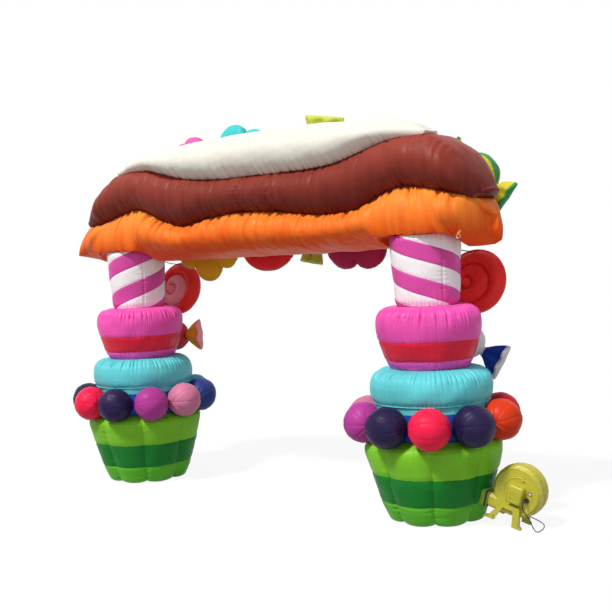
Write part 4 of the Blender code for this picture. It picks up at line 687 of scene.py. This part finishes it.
# Beam, from the CAD source's seams as shares of the half span and of the beam's rise over its seats
CREAM_FOOT_SHARES = [
    (-0.9666, 0.773), (-0.8433, 0.790), (-0.7266, 0.784), (-0.5968, 0.727), (-0.4541, 0.670),
    (-0.2725, 0.632), (-0.06487, 0.620), (0.1557, 0.625), (0.3633, 0.622), (0.5449, 0.640), (0.7006, 0.701),
    (0.8433, 0.765), (0.9731, 0.801), (1.09, 0.801),
]
CREAM_TOP_SHARES = [
    (-0.9796, 0.801), (-0.8823, 0.886), (-0.7655, 0.932), (-0.6228, 0.960), (-0.4671, 0.977),
    (-0.2725, 0.991), (-0.06487, 1.000), (0.1557, 1.000), (0.3633, 0.994), (0.5449, 0.983), (0.7006, 0.966),
    (0.8433, 0.938), (0.9731, 0.892), (1.103, 0.830),
]
BROWN_LEFT_SHARES = [(-1.259, 0.324), (-1.207, 0.483), (-1.135, 0.619), (-1.051, 0.710)]
BROWN_RIGHT_SHARES = [(1.168, 0.733), (1.252, 0.608), (1.31, 0.426), (1.33, 0.330)]
BROWN_FOOT_SHARES = [
    (-1.239, 0.273), (-1.168, 0.288), (-1.103, 0.309), (-1.038, 0.338), (-0.9666, 0.369), (-0.8433, 0.410),
    (-0.7266, 0.358), (-0.5968, 0.261), (-0.4541, 0.215), (-0.2725, 0.267), (-0.06487, 0.297),
    (0.1557, 0.285), (0.3633, 0.242), (0.5449, 0.219), (0.7006, 0.244), (0.8433, 0.344), (0.9731, 0.400),
    (1.09, 0.374), (1.168, 0.341), (1.233, 0.312), (1.266, 0.295), (1.297, 0.267),
]
ORANGE_LEFT_SHARES = [(-1.362, -0.020), (-1.271, 0)]
ORANGE_MIDDLE_SHARES = [
    (-0.5968, -0.045), (-0.4541, -0.051), (-0.2725, -0.051), (-0.06487, -0.051), (0.1557, -0.051),
    (0.3633, -0.051), (0.5449, -0.045),
]
ORANGE_RIGHT_SHARES = [(1.265, 0), (1.300, 0), (1.333, 0)]


def placed(shares):
    return [(x * HALF_SPAN, SEAT_Z + z * BEAM_RISE) for x, z in shares]


def seat(side):
    return [(side * HALF_SPAN + shift, SEAT_Z) for shift in (-0.335, -0.270, 0, 0.270, 0.335)]


CREAM_FOOT, CREAM_TOP = placed(CREAM_FOOT_SHARES), placed(CREAM_TOP_SHARES)
BROWN_FOOT = placed(BROWN_FOOT_SHARES)
BROWN_TOP = placed(BROWN_LEFT_SHARES) + CREAM_FOOT + placed(BROWN_RIGHT_SHARES)
ORANGE_FOOT = (placed(ORANGE_LEFT_SHARES) + seat(-1) + placed(ORANGE_MIDDLE_SHARES) + seat(1)
               + placed(ORANGE_RIGHT_SHARES))
SEATED = (3, 4, 5, 15, 16, 17)
# Half depth over the seats, puff of the faces there and elsewhere, and drop of the orange underside
SEAT_DEPTH, FLAT_PUFF, ROUND_PUFF, ORANGE_DROP = 0.270, 0.050, 0.110, 0.105
SECTIONS, FACE_POINTS, CROWN_POINTS, CAP_STEPS = 760, 44, 16, 12

# How a layer's right end narrows: the depth it is drawn to, the run before its end, the share left
CREAM_DRAW, BROWN_DRAW, ORANGE_DRAW = (-CREASE_Y, 0.45, 0.35), (CREASE_Y, 0.30, 0.55), (CREASE_Y, 0.24, 0.28)


def drawn(y, x, end, draw_in):
    """Depths of a layer whose right end narrows towards one face over a run before its end."""
    anchor, run, kept = draw_in
    share = np.clip((x - (end - run)) / run, 0, 1)
    return anchor + (y - anchor) * (kept + (1 - kept) * np.sqrt(1 - share ** 2.2))


def layer(name, feet, tops, foot_crowns, top_crowns, depths, seed, paint, slot, node, end_puff, draw_in,
          foot_creases, top_creases, panels=()):
    """One inflated layer of the beam: puffed faces between its seams, with creases along them."""
    feet, tops = np.array(feet), np.array(tops)
    last = len(feet) - 1
    puffs = np.where(np.array(depths) > CREASE_Y, FLAT_PUFF, ROUND_PUFF)
    puffs = np.minimum(puffs, 0.5 * np.linalg.norm(tops - feet, axis=1))
    for step, share in enumerate((0.3, 0.7)):
        puffs[step] *= share
        puffs[last - step] *= share
    fine = np.linspace(0, last, 4000)
    line = 0.5 * (even_curve(feet[:, 0], fine) + even_curve(tops[:, 0], fine))
    t = np.interp(np.linspace(line[0], line[-1], SECTIONS), line, fine)

    def at(values):
        return even_curve(np.asarray(values, float), t)[:, None]

    foot = np.stack([at(feet[:, 0]), at(feet[:, 1])], -1)
    top = np.stack([at(tops[:, 0]), at(tops[:, 1])], -1)
    depth, puff, rise = at(depths), at(puffs), top - foot
    length = np.linalg.norm(rise, axis=-1)
    up = rise / length[..., None]
    face = np.sin(np.linspace(-math.pi / 2, math.pi / 2, FACE_POINTS)) * 0.5 + 0.5
    crown = np.linspace(-1, 1, CROWN_POINTS + 2)[1:-1]

    def front(shares, sign):
        bulge = (1 - np.abs(2 * shares - 1) ** 2.0) ** 0.85
        y = depth + (CREASE_Y - depth) * shares + puff * bulge
        spot = foot + rise * shares[:, None]
        return np.stack([spot[..., 0], -sign * y, spot[..., 1]], -1)

    def over(edge, half, height, sign, shares):
        drop = height * (1 - np.abs(shares) ** (1.3 if sign < 0 else 2))
        spot = edge + up * (sign * drop)[..., None]
        return np.stack([spot[..., 0], half * shares, spot[..., 1]], -1)

    top_half = np.full_like(depth, CREASE_Y)
    sides = [front(face, 1), over(top, top_half, at(top_crowns), 1, crown),
             front(face[::-1], -1), over(foot, depth, at(foot_crowns), -1, crown[::-1])]
    grid = np.concatenate(sides, axis=1)
    x = 0.5 * (foot[..., 0] + top[..., 0])
    push = 0.0040 * ripple(grid, seed, 0.34) + 0.0008 * ripple(grid, seed + 1, 0.10)
    for begin, s in ((0, face), (FACE_POINTS + CROWN_POINTS, face[::-1])):
        to_foot, to_top = s * length, (1 - s) * length
        block = pleats(x, to_foot, seed + 2 + begin, 0.046, 0.050, 0.011 * foot_creases)
        block = block + pleats(x, to_top, seed + 3 + begin, 0.046, 0.050, 0.011 * top_creases)
        block = block + pleats(x, to_foot, seed + 4 + begin, 0.110, 0.090, 0.014 * foot_creases)
        block = block + pleats(x, to_top, seed + 5 + begin, 0.110, 0.110, 0.014 * top_creases)
        for place, strength in panels:
            bent = place + 0.012 * np.sin(s * 9 + place * 5)
            block = block + groove(x - bent, 0.012, strength)
            block = block + pleats(s * length + place, x - bent, seed + 9, 0.032, 0.045, 0.9 * strength)
        push[:, begin:begin + FACE_POINTS] += block * np.clip(length / 0.22 - 0.25, 0, 1)
    if not any(foot_crowns):
        push[:, 2 * FACE_POINTS + CROWN_POINTS:] *= 0.2
    steps = np.arange(SECTIONS)
    push *= np.clip(np.minimum(steps, steps[::-1]) / 6, 0, 1)[:, None]
    grid = pushed(grid, push)
    grid[..., 1] = drawn(grid[..., 1], grid[..., 0], grid[-1, :, 0].mean(), draw_in)
    caps = []
    for ring, way in ((grid[0], -1), (grid[-1], 1)):
        middle = ring.mean(axis=0)
        caps.append(np.array([middle + (ring - middle) * math.cos(math.asin(s)) + [way * end_puff * s, 0, 0]
                              for s in np.sin(np.linspace(0, 1.35, CAP_STEPS + 1))[1:]]))
    grid = np.concatenate([caps[0][::-1], grid, caps[1]], axis=0) + MIDDLE
    settle(skin(name, grid, [paint]), slot, node, fill=1)


def beam():
    count = len(CREAM_FOOT)
    layer("cream_layer", CREAM_FOOT, CREAM_TOP, [0] * count, [0] + [0.035] * (count - 2) + [0],
          [CREASE_Y] * count, 400, "cream", "cream_fabric", "beam_cream", 0.015, CREAM_DRAW,
          foot_creases=1.2, top_creases=0.7)
    count = len(BROWN_TOP)
    crowns = [0.025] * 4 + [0] * (count - 8) + [0.025] * 4
    layer("brown_layer", BROWN_FOOT, BROWN_TOP, [0] * count, crowns, [CREASE_Y] * count, 430,
          "brown", "brown_fabric", "beam_brown", 0.045, BROWN_DRAW, foot_creases=0.9, top_creases=0.8,
          panels=((-0.02, 0.012), (0.31, 0.010), (1.15, 0.006)))
    drops = [0 if i in SEATED else ORANGE_DROP - (SEAT_Z - ORANGE_FOOT[i][1]) for i in range(count)]
    for index, (left, right) in enumerate(((0.35, 0.75), (0.8, 0.95))):
        drops[index] *= left
        drops[-1 - index] *= right
    depths = [SEAT_DEPTH if i in SEATED else CREASE_Y for i in range(count)]
    layer("orange_layer", ORANGE_FOOT, BROWN_FOOT, drops, [0] * count, depths, 460, "orange",
          "orange_fabric", "beam_orange", 0.055, ORANGE_DRAW, foot_creases=0.7, top_creases=2.6,
          panels=((-0.75, 0.004), (0.62, 0.004)))


beam()


# Sweets on the far face and behind the columns. A petal's profile has shares of its radius and thickness,
# and how much the notches between petals count there
FLOWER_THICK, FLOWER_OUT = 0.150, 0.0853
PETAL_PROFILE = [
    (0.05, 0.0, 0), (0.45, 0.0, 0.8), (0.74, 0.0, 1), (0.90, 0.10, 1), (0.985, 0.28, 1), (1.0, 0.46, 1),
    (0.955, 0.66, 1), (0.84, 0.82, 1), (0.66, 0.86, 0.9), (0.48, 0.78, 0.6), (0.36, 0.70, 0.25),
]
BUTTON_PROFILE = [(0.335, 0.72, 0), (0.32, 0.86, 0), (0.25, 1.02, 0), (0.12, 1.09, 0), (0.02, 1.10, 0)]
PETAL_ROWS, BUTTON_ROWS = 56, 20
GUMDROP_HALF_WIDTH, GUMDROP_HALF_HEIGHT, GUMDROP_THICK = 0.290, 0.190, 0.150
GUMDROP_PROFILE = [
    (0.05, 0.0), (0.45, 0.0), (0.72, 0.0), (0.90, 0.14), (0.99, 0.34), (0.985, 0.52), (0.90, 0.72),
    (0.70, 0.88), (0.40, 0.97), (0.05, 1.0),
]
LOLLY_RADIUS, LOLLY_LEAN, LOLLY_TURNS = 0.268, math.radians(17), 2.25
LOLLY_CENTRE = {"left": np.array([-1.7312, 0.5787, 1.7002]), "right": np.array([1.5048, 0.5787, 1.7002])}
TETHER_RADIUS = 0.004
# Rows and columns of the grids; a lollipop's rows are those of one face
CANDY_GRID, LOLLY_GRID = (190, 160), (76, 300)


def facing(turn=0.0, lean=0.0):
    """Axes of a piece that looks along +Y: columns are its own X, Y (up) and Z (outward)."""
    c, s = math.cos(lean), math.sin(lean)
    leaned = np.array([[1, 0, 0], [0, c, s], [0, -s, c]])
    face = np.array([[-1.0, 0, 0], [0, 0, 1], [0, 1, 0]])
    c, s = math.cos(turn), math.sin(turn)
    return leaned @ face @ np.array([[c, -s, 0], [s, c, 0], [0, 0, 1]])


def flower(word, shares, radius, petals, turn, paint, core, slot, slip=0.0):
    """Puffed petals round a button; the back lies on the beam's far face."""
    rows = np.vstack([curve_through(PETAL_PROFILE, PETAL_ROWS), curve_through(BUTTON_PROFILE, BUTTON_ROWS)])
    out, lift, lobed = rows[:, :1], rows[:, 1:2], rows[:, 2:]
    angle = around(240)
    notch = 1 - np.sqrt(np.abs(np.cos(petals * angle / 2)))
    r = out * radius * (1 - 0.30 * lobed * notch)
    height = FLOWER_THICK * lift * (1 - 0.22 * lobed * notch ** 1.5)
    x, z = placed([shares])[0]
    middle = np.array([x, CREASE_Y + FLOWER_OUT - slip, z]) + MIDDLE
    grid = middle + polar_grid(r, angle, height) @ facing(turn).T
    seed = 500 + int(radius * 1000) + petals
    rim = np.exp(-((out - 1.0) / 0.16) ** 2)
    push = 0.003 * ripple(grid, seed, 0.14)
    push += gathers(angle, radius, (out - 1.0) * radius, seed + 1, 0.030, 0.030, 0.008)
    push += pleats(r, np.minimum(0.2, 0.5 * (1 - notch)) * r, seed + 2, 0.034, 0.030, 0.006)
    grid = pushed(grid, push * (0.35 + 0.65 * rim) * np.clip(lift * 8, 0, 1))
    button = (np.arange(len(rows) - 1) >= PETAL_ROWS)[:, None]
    settle(skin(f"{word}_petals", grid, [paint, core], face_paint=button), slot, f"flower_{word}", fill=1)


def gumdrop():
    rows = curve_through(GUMDROP_PROFILE, 60)
    out, lift = rows[:, :1], rows[:, 1:]
    angle = around(200)
    slim = GUMDROP_HALF_HEIGHT / GUMDROP_HALF_WIDTH
    oval = slim / np.hypot(slim * np.cos(angle), np.sin(angle))
    local = polar_grid(out * GUMDROP_HALF_WIDTH * oval, angle, lift * GUMDROP_THICK)
    x, z = placed([(-0.150, -0.051)])[0]
    grid = np.array([x, CREASE_Y + 0.0818, z]) + MIDDLE + local @ facing(math.radians(-6)).T
    push = 0.003 * ripple(grid, 540, 0.15)
    push += gathers(angle, 0.25, (out - 1) * GUMDROP_HALF_WIDTH, 541, 0.032, 0.035, 0.009)
    grid = pushed(grid, push * np.clip(lift * 8, 0, 1))
    settle(skin("red_gumdrop", grid, ["red"]), "red_fabric", "gumdrop_red", fill=1)


def candy_rows(radius, half, wings, neck):
    """Place along a candy, half height and half depth: thick-edged fan, twist, ball, twist, fan."""
    table = []
    for sign, wing in zip((-1, 1), wings):
        side = [(1.0, wing, 0.024), (0.985, 1.03 * wing, 0.036), (0.95, 1.02 * wing, 0.038),
                (0.915, 0.99 * wing, 0.028), (0.80, 0.85 * wing, 0.024), (0.66, 0.64 * wing, 0.030),
                (neck, 0.34 * radius, 0.25 * radius)]
        side = [(sign * a, b, c) for a, b, c in side]
        table += side if sign < 0 else side[::-1]
        if sign < 0:
            for turn in (math.radians(-78 + 13 * step) for step in range(13)):
                reach = math.cos(turn) * radius
                table.append((math.sin(turn) * radius / half, reach, reach))
    table = np.array(table)
    at = np.linspace(-1, 1, CANDY_GRID[0])
    tall, deep = np.interp(at, table[:, 0], table[:, 1]), np.interp(at, table[:, 0], table[:, 2])
    kernel = np.array([1, 2, 1]) / 4
    for _ in range(2):
        tall[1:-1] = np.convolve(tall, kernel, "valid")
        deep[1:-1] = np.convolve(deep, kernel, "valid")
    return at[:, None], tall[:, None], deep[:, None]


def candy(word, centre, tilt, radius, half, wings, paints, slot, stripes=0, line=False, half_high=None):
    """A wrapped sweet along its own X; half_high is its reach on the high side where that differs."""
    tilt = math.radians(tilt)
    x_axis = np.array([math.cos(tilt), 0, -math.sin(tilt)])
    z_axis = np.array([math.sin(tilt), 0, math.cos(tilt)])
    neck = max(0.52, 1.06 * radius / half)
    at, tall, deep = candy_rows(radius, half, wings, neck)
    far, angle = np.abs(at), around(CANDY_GRID[1])
    fan = np.clip((far - neck) / (0.9 - neck), 0, 1)
    across = np.sin(angle)
    y = deep * np.cos(angle) + 0.013 * fan * np.sin(7.5 * across + 0.6) * np.clip((0.99 - far) / 0.05, 0.3, 1)
    z = tall * across
    reach = np.where(at > 0, half_high or half, half) * at
    grid = (np.array(centre) + reach[..., None] * x_axis + y[..., None] * np.array([0, 1.0, 0])
            + z[..., None] * z_axis)
    ball = np.clip((radius / half * 1.02 - far) / 0.1, 0, 1)
    seed = 560 + len(word) * 7
    gap = to_whole(angle * 8 / TAU + 0.2) * TAU / 8 * tall
    push = 0.0022 * ripple(grid, seed, 0.11) - 0.005 * ball * np.exp(-(gap / 0.006) ** 2)
    push += gathers(angle, radius, (neck - far) * half, seed + 1, 0.020, 0.060, 0.009)
    push += pleats(at * half + 2, gap, seed + 2, 0.030, 0.020, 0.005) * ball
    grid = pushed(grid, push * (1 - 0.8 * fan))
    face_at = np.abs(0.5 * (at[1:] + at[:-1]))
    paint = np.repeat(np.where(face_at > 0.905, 2, np.where(face_at > neck * 0.96, 1, 0)), len(angle), axis=1)
    if stripes:
        paint[(paint == 0) & (np.floor(angle * stripes / TAU).astype(int) % 2 == 1)] = 3
    if line:
        paint[(paint == 1) & (np.abs(np.sin(angle + TAU / 2 / len(angle))) * tall[1:] < 0.011)] = 3
    settle(skin(f"{word}_sweet", grid, paints, face_paint=paint), slot, f"candy_{word}", fill=1)


def lollipop_disc(word, centre, axes):
    """A tube wound to a disc, with a crease between its turns."""
    rows, angle = LOLLY_GRID[0], around(LOLLY_GRID[1])
    share = np.concatenate([np.linspace(0.02, 1, rows), np.linspace(1, 0.02, rows)[1:]])[:, None]
    way = np.concatenate([-np.ones(rows), np.ones(rows - 1)])[:, None]
    winding = share * LOLLY_TURNS - angle / TAU + 0.15
    place = np.mod(winding, 1.0)
    arch = np.sqrt(np.clip(1 - (2 * place - 1) ** 2, 0, 1))
    edge = np.sqrt(np.clip(1 - share ** 7, 0, 1))
    height = way * 0.080 * edge * (0.30 + 0.70 * arch)
    height = np.where(np.abs(share - 1) < 1e-9, 0, height)
    r = share * (LOLLY_RADIUS * (1 - 0.07 * angle / TAU))
    aside = (1 - share) ** 1.5
    grid = centre + polar_grid(r, angle, height, 0.075 * aside, 0.020 * aside) @ axes.T
    to_crease = np.minimum(place, 1 - place) * LOLLY_RADIUS / LOLLY_TURNS
    seed = 600 if word == "left" else 620
    push = pleats(angle * r, to_crease, seed, 0.038, 0.030, 0.014) + 0.0025 * ripple(grid, seed + 1, 0.12)
    grid = grid + way[..., None] * axes[:, 2] * (push * edge * (share > 0.05))[..., None]
    inner = winding[1:] < 1.0 if word == "left" else 0
    settle(skin(f"lollipop_disc_{word}", grid, ["lolly", "pale_pink"], face_paint=inner), "red_fabric",
           f"lollipop_{word}", fill=1)


def lollipop(word):
    """A disc with its stick, and the tether that holds its top to the column."""
    centre, axes = LOLLY_CENTRE[word], facing(0, LOLLY_LEAN)
    lollipop_disc(word, centre, axes)
    stick = [centre - axes[:, 1] * reach for reach in np.linspace(0.235, 0.392, 16)]
    settle(tube(f"lollipop_stick_{word}", stick, 0.0195 - 0.0012 * (np.arange(16) % 4 == 1), "white", 20),
           "red_fabric", fill=1)
    start = np.array([COLUMNS[word], COLUMN_Y + 0.2589, SEAT_Z - 0.075])
    top = centre + axes[:, 1] * 0.93 * LOLLY_RADIUS
    table = [start, start + [0, 0.008, 0]]
    for part in (0.3, 0.55, 0.8, 1.0):
        table.append(start + (top - start) * part - [0, 0, 0.020 * math.sin(math.pi * part)])
    points = curve_through(table, 61)
    rope, length = rope_line(f"tether_{word}", points, TETHER_RADIUS, "rope", False)
    settle(rope, "black_rope", f"lollipop_tether_{word}")


flower("pink", (-0.704, 0.898), 0.228, 5, math.radians(31), "petal_pink", "sun", "magenta_fabric", 0.0003)
flower("cyan", (-0.324, 0.8125), 0.360, 5, math.radians(-2), "cyan", "yellow", "cyan_fabric")
flower("yellow", (-0.6195, 0.102), 0.400, 6, math.radians(30), "yellow", "red", "gold_fabric")
flower("magenta", (0.4476, 0.091), 0.360, 5, math.radians(18), "magenta", "yellow", "magenta_fabric")
gumdrop()
candy("middle", (0.1535, 0.3870, 2.4748), -80, 0.150, 0.580, (0.120, 0.200),
      ["yellow_green", "yellow_green", "yellow_green", "dark_red"], "yellow_green_fabric", line=True,
      half_high=0.655)
candy("top", (1.6479, 0.3995, 2.51), 40, 0.175, 0.310, (0.142, 0.142), ["leaf", "sun", "leaf", "sun"],
      "leaf_green_fabric", stripes=10)
candy("left", (-1.6882, 0.4427, 1.2552), -3, 0.140, 0.340, (0.142, 0.142),
      ["rose_red", "gold", "pale_pink", "gold"], "gold_fabric")
candy("right", (1.4848, 0.4427, 1.2552), 30, 0.140, 0.340, (0.142, 0.142), ["white", "sky", "white", "sky"],
      "sky_blue_fabric")
lollipop("left")
lollipop("right")


# Blower: u to the right, v to the far side, w up, as in the CAD source
BLOWER_AT = np.array([2.12818, -0.04429, 0.26488])
BLOWER_AXES = np.array([[0.96456, 0, 0.26387], [0, 1, 0], [-0.26387, 0, 0.96456]])
SCROLL_RADIUS, FACE_V, MOUTH_U, MOUTH_W = 0.185, -0.070, -0.215, -0.135
RIDGE_AT, SWITCH_AT, GLAND_AT = (0.013, -0.004), (0.098, 0.0196), (0.0883, -0.0313)
COVER_U, COVER_W, COVER_V = 0.009, -0.009, FACE_V - 0.0553
SCREW_RING, SCREW_PROFILE = 0.137, [(0.32, 0.55), (0.40, 1.0), (0.75, 0.9), (1.0, 0.35), (1.0, 0.0)]
PLASTIC_SLOTS = {"blower": "blower_plastic", "black": "black_plastic", "steel": "motor_steel"}


def on_blower(points):
    return BLOWER_AT + np.asarray(points, float) @ BLOWER_AXES.T


def circle(middle, radius, v, count=96):
    (u, w), a = middle, around(count)
    return np.column_stack([u + radius * np.cos(a), np.full(count, v), w + radius * np.sin(a)])


def rounded_ring(u, w, half_u, half_w, corner, v, steps=6):
    points = []
    for quarter, (su, sw) in enumerate(((1, 1), (-1, 1), (-1, -1), (1, -1))):
        for step in range(steps + 1):
            a = (quarter + step / steps) * math.pi / 2
            points.append((u + su * (half_u - corner) + corner * math.cos(a), v,
                           w + sw * (half_w - corner) + corner * math.sin(a)))
    return np.array(points)


def bead(name, points, radius, paint, sides, closed=True):
    """A ring, rib or knob on the blower, drawn in its own axes."""
    settle(tube(name, on_blower(points), radius, paint, sides, closed), PLASTIC_SLOTS[paint])


def screw(name, u, v, w, radius=0.0045, height=0.0022):
    """Round screw head with a hollow in its middle, standing on the face that looks along -v."""
    rows = [circle((u, w), radius * share, v - height * lift, 20) for share, lift in SCREW_PROFILE]
    settle(skin(name, on_blower(np.array(rows)), ["steel"]), "motor_steel")


def blower_details():
    v = FACE_V
    bead("housing_ridge", circle(RIDGE_AT, 0.108, v + 0.001), 0.0050, "blower", 12)
    bead("housing_lip", circle((0, 0), 0.1605, v + 0.0015), 0.0032, "blower", 10)
    bead("grille_ring", circle(RIDGE_AT, 0.0915, -v + 0.0035), 0.0030, "black", 10)
    flange = []
    for step in range(61):
        a = -math.pi / 2 + (math.pi * 1.5 + math.asin(0.085 / SCROLL_RADIUS)) * step / 60
        flange.append((SCROLL_RADIUS * math.cos(a), 0, SCROLL_RADIUS * math.sin(a)))
    bead("housing_flange", flange, 0.0042, "blower", 10, False)
    for index in range(8):
        a = TAU * (index + 0.35) / 8
        screw(f"housing_screw_{index + 1}", SCREW_RING * math.cos(a), v, SCREW_RING * math.sin(a))
    size = 0.0030 * np.sqrt(np.clip(1 - (np.linspace(-1, 1, 12) * 0.96) ** 8, 0.02, 1))
    for index in range(5):
        u = COVER_U - 0.028 + 0.014 * index
        path = [(u, COVER_V + 0.0004, COVER_W + w) for w in np.linspace(-0.034, 0.034, 12)]
        bead(f"cover_rib_{index + 1}", path, size, "blower", 10, False)
    for index, (su, sw) in enumerate(((-1, -1), (1, -1), (1, 1), (-1, 1))):
        screw(f"cover_screw_{index + 1}", COVER_U + su * 0.038, COVER_V, COVER_W + sw * 0.046, 0.0040)
    bead("cover_foot", rounded_ring(COVER_U, COVER_W, 0.0565, 0.0645, 0.018, v - 0.002), 0.0026, "blower", 8)
    bead("switch_frame", rounded_ring(*SWITCH_AT, 0.0145, 0.0110, 0.003, v), 0.0018, "black", 8)
    bead("gland_nut", circle(GLAND_AT, 0.0150, v - 0.001, 48), 0.0024, "black", 8)
    knob = [(0.031, v - reach, 0.097) for reach in (0, 0.004, 0.008, 0.010, 0.011)]
    bead("housing_boss", knob, [0.011, 0.0105, 0.0095, 0.007, 0.002], "blower", 24, False)
    for index, eye in enumerate(((-0.112, -0.222), (0.078, -0.214))):
        bead(f"anchor_eye_{index + 1}", circle(eye, 0.0095, v - 0.028, 40), 0.0020, "steel", 8)


def sleeve():
    """Green sleeve pulled over the mouth, gathered by a strap and sewn into the base."""
    rows = []
    along = np.linspace(0.018, -0.086, 40)[:, None]
    for u in along[:, 0]:
        flare = 0.012 * np.clip((-u - 0.03) / 0.056, 0, 1) ** 2
        pinch = 0.0022 * math.exp(-((u - 0.004) / 0.006) ** 2)
        grow = 0.0052 + flare - pinch + 0.007 * math.sin(math.pi * np.clip((-u) / 0.07, 0, 1))
        ring = rounded_ring(0, MOUTH_W, 0.070 + grow, 0.050 + grow, 0.014 + grow, 0, 12)
        rows.append(np.column_stack([np.full(len(ring), MOUTH_U + u), ring[:, 0], ring[:, 2]]))
    grid = on_blower(np.array(rows))
    count = grid.shape[1]
    edge = np.arange(count) * 0.42 / count
    push = pleats(edge, along - 0.004, 700, 0.014, 0.035, 0.006, 0.42) + 0.0012 * ripple(grid, 701, 0.05)
    grid = pushed(grid, np.where(along > 0.0, 0.3 * push, push))
    settle(skin("blower_sleeve", grid, ["sleeve"], caps=False), "yellow_green_fabric", "inflation_sleeve",
           fill=0.9)
    ring = rounded_ring(0, MOUTH_W, 0.0765, 0.0565, 0.018, 0, 12)
    strap = [np.column_stack([np.full(len(ring), MOUTH_U + u), ring[:, 0] * k,
                              MOUTH_W + (ring[:, 2] - MOUTH_W) * k])
             for u, k in ((-0.007, 0.985), (-0.007, 1.008), (0.011, 1.008), (0.011, 0.985))]
    settle(skin("sleeve_strap", on_blower(np.array(strap)), ["black"], wrap_rows=True), "black_plastic")


# Webbing folds that hold the tie-down rings
FOLD_TOP, FOLD_RADIUS, FOLD_HALF_WIDTH = 0.046, 0.0046, 0.0100
RINGS = {"ring_left": (-1.91322, -0.24429, 2.06699), "ring_right": (1.82778, -0.24429, 2.06699)}


def webbing(word):
    """Loop of webbing round a ring's bar; its upper ends lean in, to the layer's cloth."""
    x, y, z = RINGS[f"ring_{word}"]
    leg = [(0.0052, FOLD_TOP), (0.0048, 0.012), (FOLD_RADIUS, 0.0)]
    angles = np.linspace(0.25, math.pi - 0.25, 9)
    bend = [(FOLD_RADIUS * math.cos(a), -FOLD_RADIUS * math.sin(a)) for a in angles]
    line = np.array(leg + bend + [(-across, up) for across, up in leg[::-1]])
    inner = line * np.array([0.66, 1]) + np.array([0, 0.0008])
    ring = np.vstack([line, inner[::-1]])
    sewn_in = 0.9 * np.maximum(ring[:, 1] - 0.004, 0)
    rows = [np.column_stack([np.full(len(ring), x + s), y + ring[:, 0] + sewn_in, z + ring[:, 1]])
            for s in np.linspace(-FOLD_HALF_WIDTH, FOLD_HALF_WIDTH, 9)]
    settle(skin(f"webbing_{word}", np.array(rows), ["webbing"]), "orange_fabric")


def seam_shade_line(name, seam, side):
    """Tube of brown cloth along the crease between two layers: a seam cord whose dark colour is painted shade
    of the crease.
    """
    seam = np.array(seam)
    t = np.linspace(0, len(seam) - 1, 320)
    x, z = even_curve(seam[:, 0], t), even_curve(seam[:, 1], t)
    end = 0.5 * (BROWN_FOOT[-1][0] + BROWN_TOP[-1][0])
    y = drawn(np.full(len(t), side * (CREASE_Y + 0.002)), x, end, BROWN_DRAW)
    settle(tube(name, np.column_stack([x, y, z]) + MIDDLE, 0.0040, "brown", 8), "brown_fabric")


blower_details()
sleeve()
webbing("left")
webbing("right")
# dark tubes along the layers' creases: painted shade
for side, face in ((-1, "near"), (1, "far")):
    seam_shade_line(f"cream_piping_{face}", CREAM_FOOT[:-1], side)
    seam_shade_line(f"orange_piping_{face}", BROWN_FOOT[:-1], side)


# Carried-over solids: material, and width of the softened edges
SOLIDS = {
    "blower_housing_front": ("blower", 0.003), "blower_housing_back": ("blower", 0.003),
    "motor_cover": ("blower", 0.003), "blower_impeller": ("grey", 0), "blower_motor": ("motor", 0.001),
    "inlet_grille": ("black", 0.001), "power_switch": ("pale", 0.0005), "cable_gland": ("black", 0.0008),
    "power_plug": ("rubber", 0.001), "d_ring_left": ("steel", 0), "d_ring_right": ("steel", 0),
}
for node, (paint, bevel) in SOLIDS.items():
    dress(node, paint, bevel)


# Stage and light
FLOOR_REACH, FLOOR_Z = 60, -0.001
SUNS = (("key_sun", (0.10, 0.58, -0.80), 3.0, 8, (1, 0.98, 0.94)),
        ("fill_sun", (-0.70, 0.60, -0.15), 0.50, 50, (0.95, 0.97, 1)))


def stage():
    """A plain floor that shows as white and keeps the arch's shadow."""
    n = Nodes(bpy.data.materials.new("studio_floor"))
    n.tree.nodes.remove(n.shader)
    grain = n.mix(n.noise(2.0), [0.34, 0.34, 0.34], [0.37, 0.37, 0.37])
    diffuse = n.add("ShaderNodeBsdfDiffuse", {"Color": grain})
    glow = n.add("ShaderNodeEmission", {"Color": (1, 1, 1), "Strength": 1.29})
    n.blend(n.math("MULTIPLY", n.seen(), 0.70), diffuse, glow, "Material Output")
    mesh = bpy.data.meshes.new("floor")
    corners = [(x * FLOOR_REACH, y * FLOOR_REACH, FLOOR_Z) for x, y in ((-1, -1), (1, -1), (1, 1), (-1, 1))]
    mesh.from_pydata(corners, [], [(0, 1, 2, 3)])
    mesh.materials.append(n.owner)
    in_scene("floor", mesh)


def light():
    world = bpy.data.worlds.new("studio")
    bpy.context.scene.world = world
    n = Nodes(world)
    sky = n.tree.nodes["Background"]
    n.put((0.93, 0.96, 1.0), sky.inputs["Color"])
    n.put(0.38, sky.inputs["Strength"])
    white = n.add("ShaderNodeBackground", {"Color": (1, 1, 1), "Strength": 1.0})
    n.blend(n.seen(), sky, white, "World Output")
    for name, aim, strength, spread, tint in SUNS:
        data = bpy.data.lights.new(name, "SUN")
        data.energy = strength
        data.angle = math.radians(spread)
        data.color = tint
        in_scene(name, data).rotation_euler = Vector(aim).to_track_quat("-Z", "Y").to_euler()


stage()
light()
bpy.context.scene.view_settings.view_transform = "Standard"
